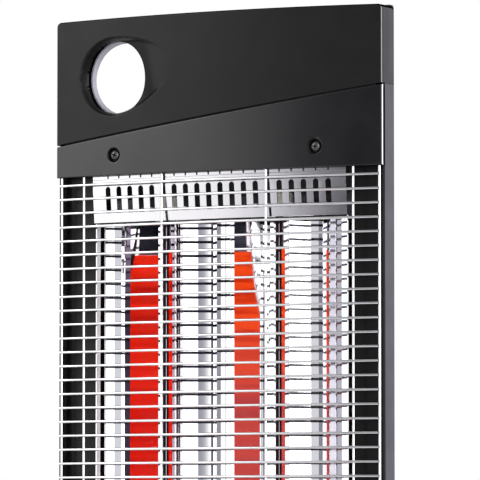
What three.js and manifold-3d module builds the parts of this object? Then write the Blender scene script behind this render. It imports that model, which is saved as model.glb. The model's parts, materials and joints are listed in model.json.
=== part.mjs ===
// Free-standing infrared tower heater: two quartz lamps in a polished twin-trough reflector,
// behind a bowed wire guard, between a head with a carrying hole and a matching control end.
// Millimetres, +Z up, X to the right, Y to the back; the floor is Z = 0.

import * as THREE from 'three';
import { mergeVertices } from 'three/addons/utils/BufferGeometryUtils.js';
import Module from 'manifold-3d';

const wasm = await Module();
wasm.setup();

// ---------------------------------------------------------------- driving dimensions

const WIDTH = 300;
const HALF = WIDTH / 2;
const TOP = 800;
const BOTTOM = 45;                       // underside of the body, above the pedestal
const MID = (TOP + BOTTOM) / 2;
const CENTRE_Y = 22;                     // the body's own Y that stands over the base's centre

const FRONT_RADIUS = 1275;               // bow of the whole front, seen from above
const SKIN = 2.5;                        // moulded wall thickness
const GAP = 0.3;                         // clearance between neighbouring pieces
const SIDE_DEPTH = 19;                   // depth of the covers' side walls
const PAN_BACK = 22;                     // back of the shallow ends
const DEEP_BACK = 52;                    // back of the deep middle
const DEEP_BACK_HALF = 120;

const SEAM_MID = 717;                    // slanted seam between head and trim
const SEAM_SLOPE = 0.128;
const SEAM_GAP = 0.6;                    // half of the open joint
const TRIM_LOW = 672;
const TRIM_BACK = 2.6;

const HOLE = { x: -92.7, z: 750.8, radius: 28.7 };
const SCOOP = { x: -92, z: 752, left: 33.7, up: 31.8, down: 31.6, tip: { x: -38, z: 757 } };
const SCOOP_FLOOR = { x: -121, y: 8, slope: 0.172 };
const SCOOP_TAPER = 0.0115;              // narrowing of the scoop per millimetre of depth
const LINER_BACK = 17.2;

const SCREW = { x: 92.5, z: 688.5, headRadius: 3.6, headFront: -5, shankEnd: 8, shankRadius: 1.6 };
const CUP = { radius: 5, wall: 1.8, floor: -2.5 };
const LAMP = { x: 52, y: 15, radius: 5.5 };
const WINDOW_HALF = 116;                 // half width of the reflector's opening
const CAP = { low: 634.5, half: 116.4, behind: 5.3, lean: 2.4, bend: 661, sheet: 0.9 };
const CAP_SLOTS = { count: 20, pitch: 10.67, half: 2.2, low: 642, high: 661 };
const CAP_NOTCH = { half: 1.8, depth: 1.7 };
const REFLECTOR_TOP = 634;
const RIBBON_TOP = 611;

const WIRE = 2.2;
const GUARD_PITCH = 11.27;
const GUARD_COUNT = 44;
const GUARD_TOP = 665.4;
const GUARD_HALF = 147;
const UPRIGHTS = [146.2, 124, 48];

const KNOB_RADIUS = 17;
const SHAFT_RADIUS = 3;

const BASE = { rx: 140, ry: 120, low: 4.5, high: 17 };

// ---------------------------------------------------------------- materials

const finish = (color, roughness, metalness = 0) =>
  new THREE.MeshStandardMaterial({ color, roughness, metalness });

const CHARCOAL = finish(0x38383a, 0.5);
const TRIM = finish(0x5a5a60, 0.35);
const BLACK = finish(0x1d1d1f, 0.6);
const CHROME = finish(0xd5d7da, 0.12, 1);
const MIRROR = finish(0xe8e9ec, 0.08, 1);
const SHEET = finish(0xc9cacd, 0.35, 1);
const LINER = finish(0xa9a9b4, 0.4);
const QUARTZ = finish(0xf4efe9, 0.05);
const GLOW = finish(0xff4a12, 0.5);
const CERAMIC = finish(0xd9d4ca, 0.8);
const STEEL = finish(0x9a9ca0, 0.35, 1);
const RUBBER = finish(0x161617, 0.9);
const AMBER = finish(0xd06018, 0.2);
const WIRING = finish(0x8c2f22, 0.7);

// ---------------------------------------------------------------- geometry helpers

const frontY = (x) =>
  Math.sqrt(FRONT_RADIUS ** 2 - HALF ** 2) - Math.sqrt(FRONT_RADIUS ** 2 - x ** 2);
const seamZ = (x) => SEAM_MID + SEAM_SLOPE * x;
const floorY = (x) => SCOOP_FLOOR.y - SCOOP_FLOOR.slope * (x - SCOOP_FLOOR.x);

function polygon(points) {
  return new THREE.Shape(points.map(([u, v]) => new THREE.Vector2(u, v)));
}

function rectangle(u0, v0, u1, v1) {
  return polygon([[u0, v0], [u1, v0], [u1, v1], [u0, v1]]);
}

function extrude(shape, depth, curveSegments = 6) {
  return new THREE.ExtrudeGeometry(shape, { depth, bevelEnabled: false, curveSegments });
}

// A plan (X, Y) raised from z0 to z1.
function raised(shape, z0, z1, curveSegments) {
  return extrude(shape, z1 - z0, curveSegments).translate(0, 0, z0);
}

// A front view (X, Z) carried back from y0 to y1.
function carried(shape, y0, y1, curveSegments) {
  return extrude(shape, y1 - y0, curveSegments).rotateX(Math.PI / 2).translate(0, y1, 0);
}

// A side view (Y, Z) carried across from x0 to x1.
function across(shape, x0, x1) {
  const turn = new THREE.Matrix4().makeBasis(
    new THREE.Vector3(0, 1, 0), new THREE.Vector3(0, 0, 1), new THREE.Vector3(1, 0, 0));
  return extrude(shape, x1 - x0).applyMatrix4(turn).translate(x0, 0, 0);
}

function box(x0, y0, z0, x1, y1, z1) {
  return new THREE.BoxGeometry(x1 - x0, y1 - y0, z1 - z0)
    .translate((x0 + x1) / 2, (y0 + y1) / 2, (z0 + z1) / 2);
}

// A turned solid or tube about Y, from [radius, y] points.
function turnedY(points, x, z, sides = 24) {
  return new THREE.LatheGeometry(points.map(([r, y]) => new THREE.Vector2(r, y)), sides)
    .translate(x, 0, z);
}

// A turned solid or tube about Z, from [radius, z] points.
function turnedZ(points, x, y, sides = 16) {
  return new THREE.LatheGeometry(points.map(([r, z]) => new THREE.Vector2(r, z)), sides)
    .rotateX(Math.PI / 2).translate(x, y, 0);
}

const rodY = (radius, y0, y1, x, z, sides) =>
  turnedY([[0, y0], [radius, y0], [radius, y1], [0, y1]], x, z, sides);
const rodZ = (radius, z0, z1, x, y, sides) =>
  turnedZ([[0, z0], [radius, z0], [radius, z1], [0, z1]], x, y, sides);

function solid(geometry) {
  const bare = geometry.clone();
  bare.deleteAttribute('normal');
  bare.deleteAttribute('uv');
  const merged = mergeVertices(bare, 1e-4);
  return new wasm.Manifold(new wasm.Mesh({
    numProp: 3,
    vertProperties: new Float32Array(merged.attributes.position.array),
    triVerts: new Uint32Array(merged.index.array),
  }));
}

function shape3d(manifold) {
  const mesh = manifold.getMesh();
  const geometry = new THREE.BufferGeometry();
  geometry.setAttribute('position', new THREE.BufferAttribute(mesh.vertProperties, 3));
  geometry.setIndex(new THREE.BufferAttribute(mesh.triVerts, 1));
  return geometry;
}

// Turned half a revolution about the body's centre, so the top piece fits the bottom.
function flipped(geometry) {
  return geometry.clone().translate(0, 0, -MID).rotateY(Math.PI).translate(0, 0, MID);
}

// ---------------------------------------------------------------- the scene graph

const heater = new THREE.Group();
const body = new THREE.Group();
body.position.y = -CENTRE_Y;
heater.add(body);

const SIDES = [['left', -1], ['right', 1]];

function add(name, geometry, material, parent = body) {
  const mesh = new THREE.Mesh(geometry, material);
  mesh.name = name;
  parent.add(mesh);
}

// ---------------------------------------------------------------- covers and trims

// Plan outline of the bowed front with its side walls, closed across the back.
function bowedPlan(inset, back, round = 2) {
  const steps = 16;
  const edge = HALF - inset;
  const points = [[-edge, back], [-edge, round + inset]];
  const reach = edge - round;
  for (let i = 0; i <= steps; i += 1) {
    const x = -reach + (2 * reach * i) / steps;
    points.push([x, frontY(x) + inset]);
  }
  points.push([edge, round + inset], [edge, back]);
  return polygon(points);
}

// Plan of a strip that follows the bow, between two depths behind the front.
function bowedStrip(near, far, half) {
  const steps = 12;
  const xs = Array.from({ length: steps + 1 }, (_, i) => -half + (2 * half * i) / steps);
  const front = xs.map((x) => [x, frontY(x) + near]);
  const back = xs.reverse().map((x) => [x, frontY(x) + far]);
  return polygon([...front, ...back]);
}

const FAR = 170;                         // beyond any piece of the body
const slopeCut = (offset, up) => solid(carried(polygon([
  [-FAR, seamZ(-FAR) + offset], [FAR, seamZ(FAR) + offset], [FAR, up], [-FAR, up],
]), -60, 90));
const aboveSeam = (offset) => slopeCut(offset, TOP + 40);
const belowSeam = (offset) => slopeCut(offset, BOTTOM);

function roundedFront(radius) {
  const shape = new THREE.Shape();
  shape.moveTo(-HALF, BOTTOM);
  shape.lineTo(HALF, BOTTOM);
  shape.lineTo(HALF, TOP - radius);
  shape.absarc(HALF - radius, TOP - radius, radius, 0, Math.PI / 2);
  shape.lineTo(-HALF + radius, TOP);
  shape.absarc(-HALF + radius, TOP - radius, radius, Math.PI / 2, Math.PI);
  return solid(carried(shape, -60, 90, 4));
}

// The scoop's rim: round on the hole's side, drawn out to a tip on the other.
function scoopRim() {
  const { x, z, left, up, down, tip } = SCOOP;
  const k = 0.5523;                      // quarter-circle handle length
  const rim = new THREE.Shape();
  rim.moveTo(x - left, z);
  rim.bezierCurveTo(x - left, z - k * down, x - k * left, z - down, x, z - down);
  rim.bezierCurveTo(x + 26, z - down + 2, tip.x, tip.z - 9, tip.x, tip.z);
  rim.bezierCurveTo(tip.x, tip.z + 17, x + 26, z + up, x, z + up);
  rim.bezierCurveTo(x - k * left, z + up, x - left, z + k * up, x - left, z);
  return rim;
}

// Tapering scoop volume in front of its slanted floor; `grow` and `deeper` make the cup's outside.
function scoopVolume(grow, deeper) {
  const block = carried(scoopRim(), -14, 24, 7);
  const place = block.attributes.position;
  for (let i = 0; i < place.count; i += 1) {
    const depth = place.getY(i) - frontY(SCOOP.x);
    const scale = 1 + grow - SCOOP_TAPER * depth;
    place.setX(i, SCOOP.x + (place.getX(i) - SCOOP.x) * scale);
    place.setZ(i, SCOOP.z + (place.getZ(i) - SCOOP.z) * scale);
  }
  const inFront = raised(polygon([
    [-FAR, -20], [0, -20], [0, floorY(0) + deeper], [-FAR, floorY(-FAR) + deeper],
  ]), SEAM_MID - 40, TOP + 20);
  return solid(block).intersect(solid(inFront));
}

const CORNER_RADIUS = 4;
const outerBlock = solid(raised(bowedPlan(0, SIDE_DEPTH), SEAM_MID - 40, TOP))
  .intersect(roundedFront(CORNER_RADIUS))
  .intersect(aboveSeam(SEAM_GAP));
const hollow = solid(raised(bowedPlan(SKIN, SIDE_DEPTH + 5), SEAM_MID - 60, TOP - SKIN));
const scoopedCover = outerBlock.subtract(hollow)
  .add(scoopVolume(0.08, SKIN).intersect(outerBlock))
  .subtract(scoopVolume(0, 0));

const headCover = scoopedCover
  .subtract(solid(rodY(HOLE.radius, -30, 40, HOLE.x, HOLE.z, 36)));
add('head_cover', shape3d(headCover), CHARCOAL);

// Sleeve of the carrying hole: slanted in front to sit behind the scoop's floor.
const sleeve = solid(rodY(HOLE.radius + 1.6, -10, LINER_BACK, HOLE.x, HOLE.z, 36))
  .subtract(solid(rodY(HOLE.radius, -20, 40, HOLE.x, HOLE.z, 36)))
  .subtract(solid(raised(polygon([
    [-FAR, -40], [0, -40], [0, floorY(0) + SKIN + GAP], [-FAR, floorY(-FAR) + SKIN + GAP],
  ]), SEAM_MID - 40, TOP + 20)));
add('handle_liner', shape3d(sleeve), LINER);

// Control end: the same moulding turned over, with a knob boss in the scoop and a lamp window.
const BOSS_FRONT = -1.5;
const BOSS_RADIUS = 20;
const LENS = { x: -8, z: 752, radius: 3 };
const controlCover = scoopedCover
  .add(solid(rodY(BOSS_RADIUS, BOSS_FRONT, 7, HOLE.x, HOLE.z, 32)))
  .subtract(solid(rodY(SHAFT_RADIUS + 0.8, -20, 30, HOLE.x, HOLE.z, 20)))
  .subtract(solid(rodY(LENS.radius + GAP, -20, 30, LENS.x, LENS.z, 20)));
add('control_cover', flipped(shape3d(controlCover)), CHARCOAL);

const lens = turnedY([[0, -10.2], [1.8, -9.8], [LENS.radius, -8.6], [LENS.radius, -3], [0, -3]],
  LENS.x, LENS.z, 20);
add('indicator_lens', flipped(lens), AMBER);

// Trim band: bowed skin with short side returns, a foot flange, a tongue behind the head's
// edge and two deep screw cups.
function trimBand() {
  const skin = solid(raised(bowedPlan(0, TRIM_BACK, 1.2), TRIM_LOW, TOP))
    .subtract(solid(raised(bowedPlan(SKIN, TRIM_BACK + 5), TRIM_LOW - 10, TOP + 10)))
    .intersect(belowSeam(-SEAM_GAP));
  const reach = HALF - SKIN - 4;
  const root = solid(raised(bowedStrip(SKIN - 0.5, SKIN + 2, reach), TRIM_LOW + 8, TOP))
    .intersect(belowSeam(-SEAM_GAP - 1.5));
  const tongue = solid(raised(bowedStrip(SKIN + GAP, SKIN + 2, reach), TRIM_LOW + 8, TOP))
    .intersect(belowSeam(7));
  const foot = solid(raised(bowedPlan(1, TRIM_BACK, 1.2), TRIM_LOW, TRIM_LOW + 1.8));
  let band = skin.add(root).add(tongue).add(foot);
  for (const side of [-1, 1]) {
    const x = side * SCREW.x;
    band = band
      .add(solid(rodY(CUP.radius + CUP.wall, frontY(x) + 1, 1.2, x, SCREW.z, 20)))
      .subtract(solid(rodY(CUP.radius, -20, CUP.floor, x, SCREW.z, 20)))
      .subtract(solid(rodY(SCREW.shankRadius + GAP, -20, 20, x, SCREW.z, 12)));
  }
  return shape3d(band);
}
const trim = trimBand();
add('upper_trim', trim, TRIM);
add('lower_trim', flipped(trim), TRIM);

// Cross-head screw along Y, its head towards the front.
function crossScrew(x, z, headRadius, headFront, headBack, shankEnd, shankRadius) {
  const dome = headFront + 0.7;
  const blank = solid(turnedY([
    [0, headFront], [headRadius * 0.6, headFront + 0.15], [headRadius, dome],
    [headRadius, headBack], [shankRadius, headBack], [shankRadius, shankEnd], [0, shankEnd],
  ], x, z, 10));
  const arm = headRadius * 0.62;
  const bit = 0.5;
  return shape3d(blank
    .subtract(solid(box(x - arm, headFront - 1, z - bit, x + arm, headFront + 1.3, z + bit)))
    .subtract(solid(box(x - bit, headFront - 1, z - arm, x + bit, headFront + 1.3, z + arm))));
}
const trimScrew = (x) => crossScrew(x, SCREW.z, SCREW.headRadius, SCREW.headFront,
  CUP.floor - GAP, SCREW.shankEnd, SCREW.shankRadius);
for (const [side, sign] of SIDES) {
  add(`upper_trim_screw_${side}`, trimScrew(sign * SCREW.x), STEEL);
  add(`lower_trim_screw_${side}`, flipped(trimScrew(-sign * SCREW.x)), STEEL);
}

// ---------------------------------------------------------------- rear shell

const SIDE_FRONT = 5;                    // front edge of the shell's own side walls
const SLOPE_RUN = 26;                    // length of the deep middle's slanted ends
const DEEP_TOP = 706;

function deepBlock(inset) {
  const side = HALF - inset;
  const back = DEEP_BACK - inset;
  const backHalf = DEEP_BACK_HALF - inset * 0.6;
  const plan = raised(polygon([
    [-side, SIDE_FRONT - inset * 4], [side, SIDE_FRONT - inset * 4], [side, SIDE_DEPTH],
    [backHalf + 6, back - 3], [backHalf, back], [-backHalf, back], [-backHalf - 6, back - 3],
    [-side, SIDE_DEPTH],
  ]), BOTTOM, TOP);
  const top = DEEP_TOP - inset;
  const low = 2 * MID - top;
  const profile = across(polygon([
    [-20, low], [PAN_BACK - SKIN, low], [back, low + SLOPE_RUN],
    [back, top - SLOPE_RUN], [PAN_BACK - SKIN, top], [-20, top],
  ]), -FAR, FAR);
  return solid(plan).intersect(solid(profile));
}

const panPlan = polygon([
  [-HALF, SIDE_FRONT], [HALF, SIDE_FRONT], [HALF, PAN_BACK - 2], [HALF - 2, PAN_BACK],
  [-HALF + 2, PAN_BACK], [-HALF, PAN_BACK - 2],
]);
const headClear = solid(box(-FAR, -40, 0, FAR, SIDE_DEPTH + GAP, TOP + 40));
const flipSolid = (manifold) => solid(flipped(shape3d(manifold)));

let rearShell = solid(raised(panPlan, BOTTOM, TOP))
  .intersect(roundedFront(CORNER_RADIUS))
  .intersect(flipSolid(roundedFront(CORNER_RADIUS)))
  .add(deepBlock(0))
  .subtract(solid(box(-HALF + SKIN, -40, BOTTOM + SKIN, HALF - SKIN, PAN_BACK - SKIN, TOP - SKIN)))
  .subtract(deepBlock(SKIN))
  .subtract(headClear.intersect(aboveSeam(SEAM_GAP - GAP)))
  .subtract(flipSolid(headClear.intersect(aboveSeam(SEAM_GAP - GAP))));

// Flared way out of the carrying hole, cooling slots, gland hole and bolt holes.
rearShell = rearShell
  .subtract(solid(turnedY([[0, 10], [HOLE.radius + 2, 10], [HOLE.radius + 2, 18.5],
    [HOLE.radius + 6.5, 24], [0, 24]], HOLE.x, HOLE.z, 36)));
const VENTS = { columns: [-70, 0, 70], half: 30, rows: 5, low: 614, pitch: 9, height: 3.6 };
for (let row = 0; row < VENTS.rows; row += 1) {
  const z = VENTS.low + row * VENTS.pitch;
  for (const x of VENTS.columns) {
    const slot = solid(box(x - VENTS.half, 40, z, x + VENTS.half, 60, z + VENTS.height));
    rearShell = rearShell.subtract(slot).subtract(flipSolid(slot));
  }
}
const BRACKET_BOLT = { x: 34, z: 78, radius: 2.5, headRadius: 9, headHeight: 9.5 };
const GLAND = { x: 100, z: 72, radius: 7, flange: 10, bore: 3.2, inside: 15, nose: 14 };
for (const side of [-1, 1]) {
  rearShell = rearShell.subtract(
    solid(rodY(BRACKET_BOLT.radius + GAP, 0, 40, side * BRACKET_BOLT.x, BRACKET_BOLT.z, 16)));
}
rearShell = rearShell.subtract(solid(rodY(GLAND.radius + GAP, 0, 40, GLAND.x, GLAND.z, 20)));

const BACK_SCREW = { headRadius: 3.4, headHeight: 2, length: 10, shankRadius: 1.6 };
const BACK_SCREWS = [[-100, 560], [100, 560], [-100, 285], [100, 285]];
for (const [x, z] of BACK_SCREWS) {
  rearShell = rearShell.subtract(solid(rodY(BACK_SCREW.shankRadius + 0.4, 30, 60, x, z, 12)));
}
add('rear_shell', shape3d(rearShell), CHARCOAL);

BACK_SCREWS.forEach(([x, z], index) => {
  const { headRadius, headHeight, length, shankRadius } = BACK_SCREW;
  const screw = crossScrew(0, 0, headRadius, 0, headHeight, length, shankRadius)
    .rotateZ(Math.PI).translate(x, DEEP_BACK + headHeight + GAP, z);
  add(`shell_screw_${index + 1}`, screw, STEEL);
});

// Cord gland: flanged bush with a stepped nose; nothing hangs from it.
add('cord_gland', turnedY([
  [GLAND.bore, GLAND.inside], [GLAND.radius, GLAND.inside], [GLAND.radius, PAN_BACK + GAP],
  [GLAND.flange, PAN_BACK + GAP], [GLAND.flange, PAN_BACK + 3], [6.6, PAN_BACK + 4.5],
  [5.4, PAN_BACK + GLAND.nose], [GLAND.bore, PAN_BACK + GLAND.nose], [GLAND.bore, GLAND.inside],
], GLAND.x, GLAND.z, 16), BLACK);

// ---------------------------------------------------------------- reflector and lamps

const CUSP_Y = 31;                       // deepest line of each trough, behind its lamp
const RIDGE = { half: 4.5, y: 15.5 };    // flat crest between the two troughs
const SHEET_BACK = 1.2;                  // depth of the reflector's sheet, measured along Y

// Wall section shaped as a parabola that faces 30 degrees to one side, focused on the lamp.
function tiltedParabola(focal, from, to, steps) {
  const tilt = Math.PI / 6;
  const points = [];
  for (let i = 0; i <= steps; i += 1) {
    const w = from + ((to - from) * i) / steps;
    const s = -focal + (w * w) / (4 * focal);
    points.push([
      s * Math.sin(tilt) - w * Math.cos(tilt),
      LAMP.y - s * Math.cos(tilt) - w * Math.sin(tilt),
    ]);
  }
  return points;
}

// Section of the right-hand trough, from the centre ridge to the outer lip.
function troughSection() {
  const inner = tiltedParabola(33, 38.5, 16, 6).map(([x, y]) => [LAMP.x + x, y]);
  const outer = tiltedParabola(29, 32, 9, 6).map(([x, y]) => [LAMP.x - x, y]).reverse();
  return [[GAP, RIDGE.y], [RIDGE.half, RIDGE.y], ...inner, [LAMP.x, CUSP_Y], ...outer,
    [WINDOW_HALF - 0.6, 4], [WINDOW_HALF + 0.4, 4.4], [WINDOW_HALF + 0.8, 9.4]];
}

const REFLECTOR_LOW = 2 * MID - REFLECTOR_TOP;
for (const [side, sign] of SIDES) {
  const faceLine = troughSection();
  const backLine = faceLine.map(([x, y]) => [x, y + SHEET_BACK]).reverse();
  const last = faceLine.length - 1;
  backLine[0] = [faceLine[last][0] - 1, faceLine[last][1]];
  backLine[1] = [faceLine[last - 1][0] - 1, faceLine[last - 1][1] + 1.4];
  const outline = [...faceLine, ...backLine].map(([x, y]) => [sign * x, y]);
  const sheet = raised(polygon(outline), REFLECTOR_LOW, REFLECTOR_TOP);
  add(`reflector_${side}`, sheet, MIRROR);
}

// Lamps: quartz tube, glowing ribbon inside it and a ceramic end at each end.
const LAMP_END = { low: 613, step: 634, shoulder: 636, top: 654, sleeve: 1.8, block: 3 };
const RIBBON = { half: 4, lead: 0.8, thick: 0.4 };
function lampEnd(x) {
  const { radius, y } = LAMP;
  const { low, step, shoulder, top, sleeve, block } = LAMP_END;
  const bore = radius + GAP;
  return turnedZ([
    [bore, low], [radius + sleeve, low], [radius + sleeve, step], [radius + block, shoulder],
    [radius + block, top], [0, top], [0, TUBE_TOP + 6], [bore, TUBE_TOP + 6], [bore, low],
  ], x, y, 16);
}
const TUBE_TOP = 640;
const TUBE_LOW = 2 * MID - TUBE_TOP;
const RIBBON_LOW = 2 * MID - RIBBON_TOP;
for (const [side, sign] of SIDES) {
  const x = sign * LAMP.x;
  const { y, radius } = LAMP;
  const { half, lead, thick } = RIBBON;
  add(`lamp_tube_${side}`, turnedZ([
    [radius - 1, TUBE_LOW], [radius, TUBE_LOW], [radius, TUBE_TOP],
    [radius - 1, TUBE_TOP], [radius - 1, TUBE_LOW],
  ], x, y, 20), QUARTZ);
  const leadEnd = TUBE_TOP + 4;
  const ribbon = solid(box(x - thick, y - half, RIBBON_LOW, x + thick, y + half, RIBBON_TOP))
    .add(solid(box(x - thick, y - lead, 2 * MID - leadEnd, x + thick, y + lead, leadEnd)));
  add(`heating_ribbon_${side}`, shape3d(ribbon), GLOW);
  add(`lamp_end_top_${side}`, lampEnd(x), CERAMIC);
  add(`lamp_end_bottom_${side}`, flipped(lampEnd(-x)), CERAMIC);
}

// Brackets: a sheet across each end of a trough, holed for the lamp's ceramic end.
const BRACKET = { half: 21, front: 5.5, back: 29, low: 636, top: 645.5, sheet: 1.5 };
for (const [side, sign] of SIDES) {
  const x = sign * LAMP.x;
  const { half, front, back, low, top, sheet } = BRACKET;
  const hole = solid(rodZ(LAMP.radius + LAMP_END.block + GAP, low + 4, top + 5, x, LAMP.y, 20));
  const bracket = solid(box(x - half, front, top - sheet, x + half, back, top))
    .add(solid(box(x - half, back - sheet, low, x + half, back, top)))
    .subtract(hole);
  add(`lamp_bracket_top_${side}`, shape3d(bracket), SHEET);
  const mirrored = side === 'left' ? 'right' : 'left';
  add(`lamp_bracket_bottom_${mirrored}`, flipped(shape3d(bracket)), SHEET);
}

// Slotted cap across the reflector's end: bowed like the front, leaning back towards the lamps.
function slottedCap() {
  const { low, half, behind, lean, bend, sheet } = CAP;
  const top = TRIM_LOW - GAP;
  const section = (x) => {
    const y = frontY(x) + behind;
    return [[y, top], [y, bend], [y + lean, low], [y + lean + sheet, low],
      [y + sheet, bend], [y + sheet, top]];
  };
  const { count, pitch } = CAP_SLOTS;
  const slotX = (i) => (i - (count - 1) / 2) * pitch;
  const edges = [-half, ...Array.from({ length: count }, (_, i) => slotX(i)), half];
  let cap = null;
  for (let i = 0; i < edges.length - 1; i += 1) {
    const panel = across(polygon(section(edges[i])), edges[i], edges[i + 1]);
    const place = panel.attributes.position;
    const step = frontY(edges[i + 1]) - frontY(edges[i]);
    for (let k = 0; k < place.count; k += 1) {
      const share = (place.getX(k) - edges[i]) / (edges[i + 1] - edges[i]);
      place.setY(k, place.getY(k) + share * step);
    }
    cap = cap ? cap.add(solid(panel)) : solid(panel);
  }
  for (let i = 0; i < count; i += 1) {
    const x = slotX(i);
    const slot = new THREE.Shape();
    slot.moveTo(x - CAP_SLOTS.half, CAP_SLOTS.low);
    slot.lineTo(x + CAP_SLOTS.half, CAP_SLOTS.low);
    slot.lineTo(x + CAP_SLOTS.half, CAP_SLOTS.high);
    slot.absarc(x, CAP_SLOTS.high, CAP_SLOTS.half, 0, Math.PI);
    const notch = box(x - CAP_NOTCH.half, -20, top - CAP_NOTCH.depth,
      x + CAP_NOTCH.half, 20, top + 5);
    cap = cap.subtract(solid(carried(slot, -10, 20, 2))).subtract(solid(notch));
  }
  return shape3d(cap);
}
const cap = slottedCap();
add('reflector_cap_top', cap, SHEET);
add('reflector_cap_bottom', flipped(cap), SHEET);

// Dark strips between the reflector's lips and the shell's side walls.
for (const [side, sign] of SIDES) {
  const x0 = WINDOW_HALF + 1.4;
  const x1 = HALF - SKIN - GAP;
  const sheet = 1.5;
  const outline = [[x0, 10], [x1, 12], [x1, 12 + sheet], [x0, 10 + sheet]]
    .map(([x, y]) => [sign * x, y]);
  const strip = raised(polygon(outline), 2 * MID - TRIM_LOW + 2, TRIM_LOW - 2);
  add(`side_panel_${side}`, strip, BLACK);
}

// Heat shield behind the reflector, with the thermal cut-out fixed on it.
const SHIELD = { half: 112, flat: 100, front: 33, back: 42, sheet: 1, top: 655 };
const shieldFace = [[-SHIELD.half, SHIELD.front], [-SHIELD.flat, SHIELD.back],
  [SHIELD.flat, SHIELD.back], [SHIELD.half, SHIELD.front]];
const shieldBack = shieldFace.map(([x, y]) => [x, y + SHIELD.sheet]).reverse();
add('heat_shield', raised(polygon([...shieldFace, ...shieldBack]),
  2 * MID - SHIELD.top, SHIELD.top), SHEET);
const CUTOUT = { z: 590, radius: 8, face: SHIELD.back + SHIELD.sheet + GAP };
add('thermal_cutout', turnedY([
  [0, CUTOUT.face], [CUTOUT.radius, CUTOUT.face], [CUTOUT.radius, CUTOUT.face + 3.7],
  [5, CUTOUT.face + 4.9], [0, CUTOUT.face + 4.9],
], 0, CUTOUT.z, 20), BLACK);

// ---------------------------------------------------------------- wire guard

// Square-section wire along the bow at one height.
function crossWire(z) {
  const steps = 6;
  const xs = Array.from({ length: steps + 1 }, (_, i) => -GUARD_HALF + (2 * GUARD_HALF * i) / steps);
  const front = xs.map((x) => [x, frontY(x)]);
  const back = xs.reverse().map((x) => [x, frontY(x) + WIRE]);
  return raised(polygon([...front, ...back]), z - WIRE / 2, z + WIRE / 2);
}

// Upright wire behind the cross wires; a negative clearance welds it to them.
function upright(x, clearance) {
  const y = frontY(x) + WIRE + clearance;
  const low = 2 * MID - TRIM_LOW + GAP;
  return box(x - WIRE / 2, y, low, x + WIRE / 2, y + WIRE, TRIM_LOW - GAP);
}

let guard = solid(upright(-UPRIGHTS[0], -0.8)).add(solid(upright(UPRIGHTS[0], -0.8)));
for (let i = 0; i < GUARD_COUNT; i += 1) {
  guard = guard.add(solid(crossWire(GUARD_TOP - GUARD_PITCH * i)));
}
add('wire_guard', shape3d(guard), CHROME);
UPRIGHTS.slice(1).forEach((reach, index) => {
  add(`guard_upright_left_${index + 1}`, upright(-reach, 2 * GAP), CHROME);
  add(`guard_upright_right_${index + 1}`, upright(reach, 2 * GAP), CHROME);
});

// ---------------------------------------------------------------- switches and wiring

// Knob with a flat grip, on a shaft that turns in the selector switch.
const knobPlace = { x: -HOLE.x, z: 2 * MID - HOLE.z };
const KNOB_BACK = BOSS_FRONT - 0.5;
const KNOB_FRONT = -11;
const grip = solid(box(-3.2, KNOB_FRONT - 7, -KNOB_RADIUS + 1.5, 3.2, KNOB_FRONT + 1, KNOB_RADIUS - 1.5));
const knobBody = solid(turnedY([
  [0, KNOB_FRONT], [KNOB_RADIUS - 2, KNOB_FRONT], [KNOB_RADIUS - 0.6, KNOB_FRONT + 1.2],
  [KNOB_RADIUS, KNOB_BACK], [0, KNOB_BACK],
], 0, 0, 32));
const knobBore = solid(rodY(SHAFT_RADIUS + GAP, KNOB_FRONT + 3, 5, 0, 0, 20));
add('selector_knob', shape3d(knobBody.add(grip).subtract(knobBore))
  .translate(knobPlace.x, 0, knobPlace.z), BLACK);
add('selector_shaft', rodY(SHAFT_RADIUS, KNOB_FRONT + 3 + GAP, 15, knobPlace.x, knobPlace.z, 20), STEEL);
const switchBody = solid(box(-12, 10.6, -12, 12, SIDE_DEPTH, 12))
  .subtract(solid(rodY(SHAFT_RADIUS + GAP, 8, 15.5, 0, 0, 20)));
add('selector_switch', shape3d(switchBody).translate(knobPlace.x, 0, knobPlace.z), CERAMIC);

const TERMINAL = { x: 10, y: 8, z: 118, width: 44, depth: 10, height: 16 };
const terminalTop = TERMINAL.z + TERMINAL.height;
let terminal = solid(box(TERMINAL.x, TERMINAL.y, TERMINAL.z, TERMINAL.x + TERMINAL.width,
  TERMINAL.y + TERMINAL.depth, terminalTop));
for (let i = 0; i < 4; i += 1) {
  const x = TERMINAL.x + 5.5 + i * 11;
  terminal = terminal.subtract(solid(rodZ(2.4, terminalTop - 6, terminalTop + 5, x, 13, 10)));
}
add('terminal_block', shape3d(terminal), CERAMIC);

// A wire is an extruded round section along a smooth route.
function wire(points, radius, steps) {
  const route = new THREE.CatmullRomCurve3(points.map((p) => new THREE.Vector3(...p)));
  const section = new THREE.Shape();
  section.absarc(0, 0, radius, 0, Math.PI * 2);
  return new THREE.ExtrudeGeometry(section, { steps, extrudePath: route, curveSegments: 3 });
}
for (const [side, sign] of SIDES) {
  add(`lamp_wire_${side}`, wire([
    [sign * 128, 24, 165], [sign * 129, 25, 300], [sign * 128, 24, 450], [sign * 129, 25, 600],
    [sign * 127, 24, 655], [sign * 112, 22, 682], [sign * 80, 18, 688], [sign * 58, 15, 679],
    [sign * 52, 15, 656],
  ], 1.5, 22), WIRING);
}

// ---------------------------------------------------------------- base

const base = new THREE.Group();
heater.add(base);

const outline = new THREE.Shape();
outline.absellipse(0, 0, BASE.rx - 4, BASE.ry - 4, 0, Math.PI * 2, false, 0);
const plateBlank = new THREE.ExtrudeGeometry(outline, {
  depth: BASE.high - BASE.low - 5,
  bevelThickness: 2.5,
  bevelSize: 4,
  bevelSegments: 2,
  curveSegments: 20,
}).translate(0, 0, BASE.low + 2.5);

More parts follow.
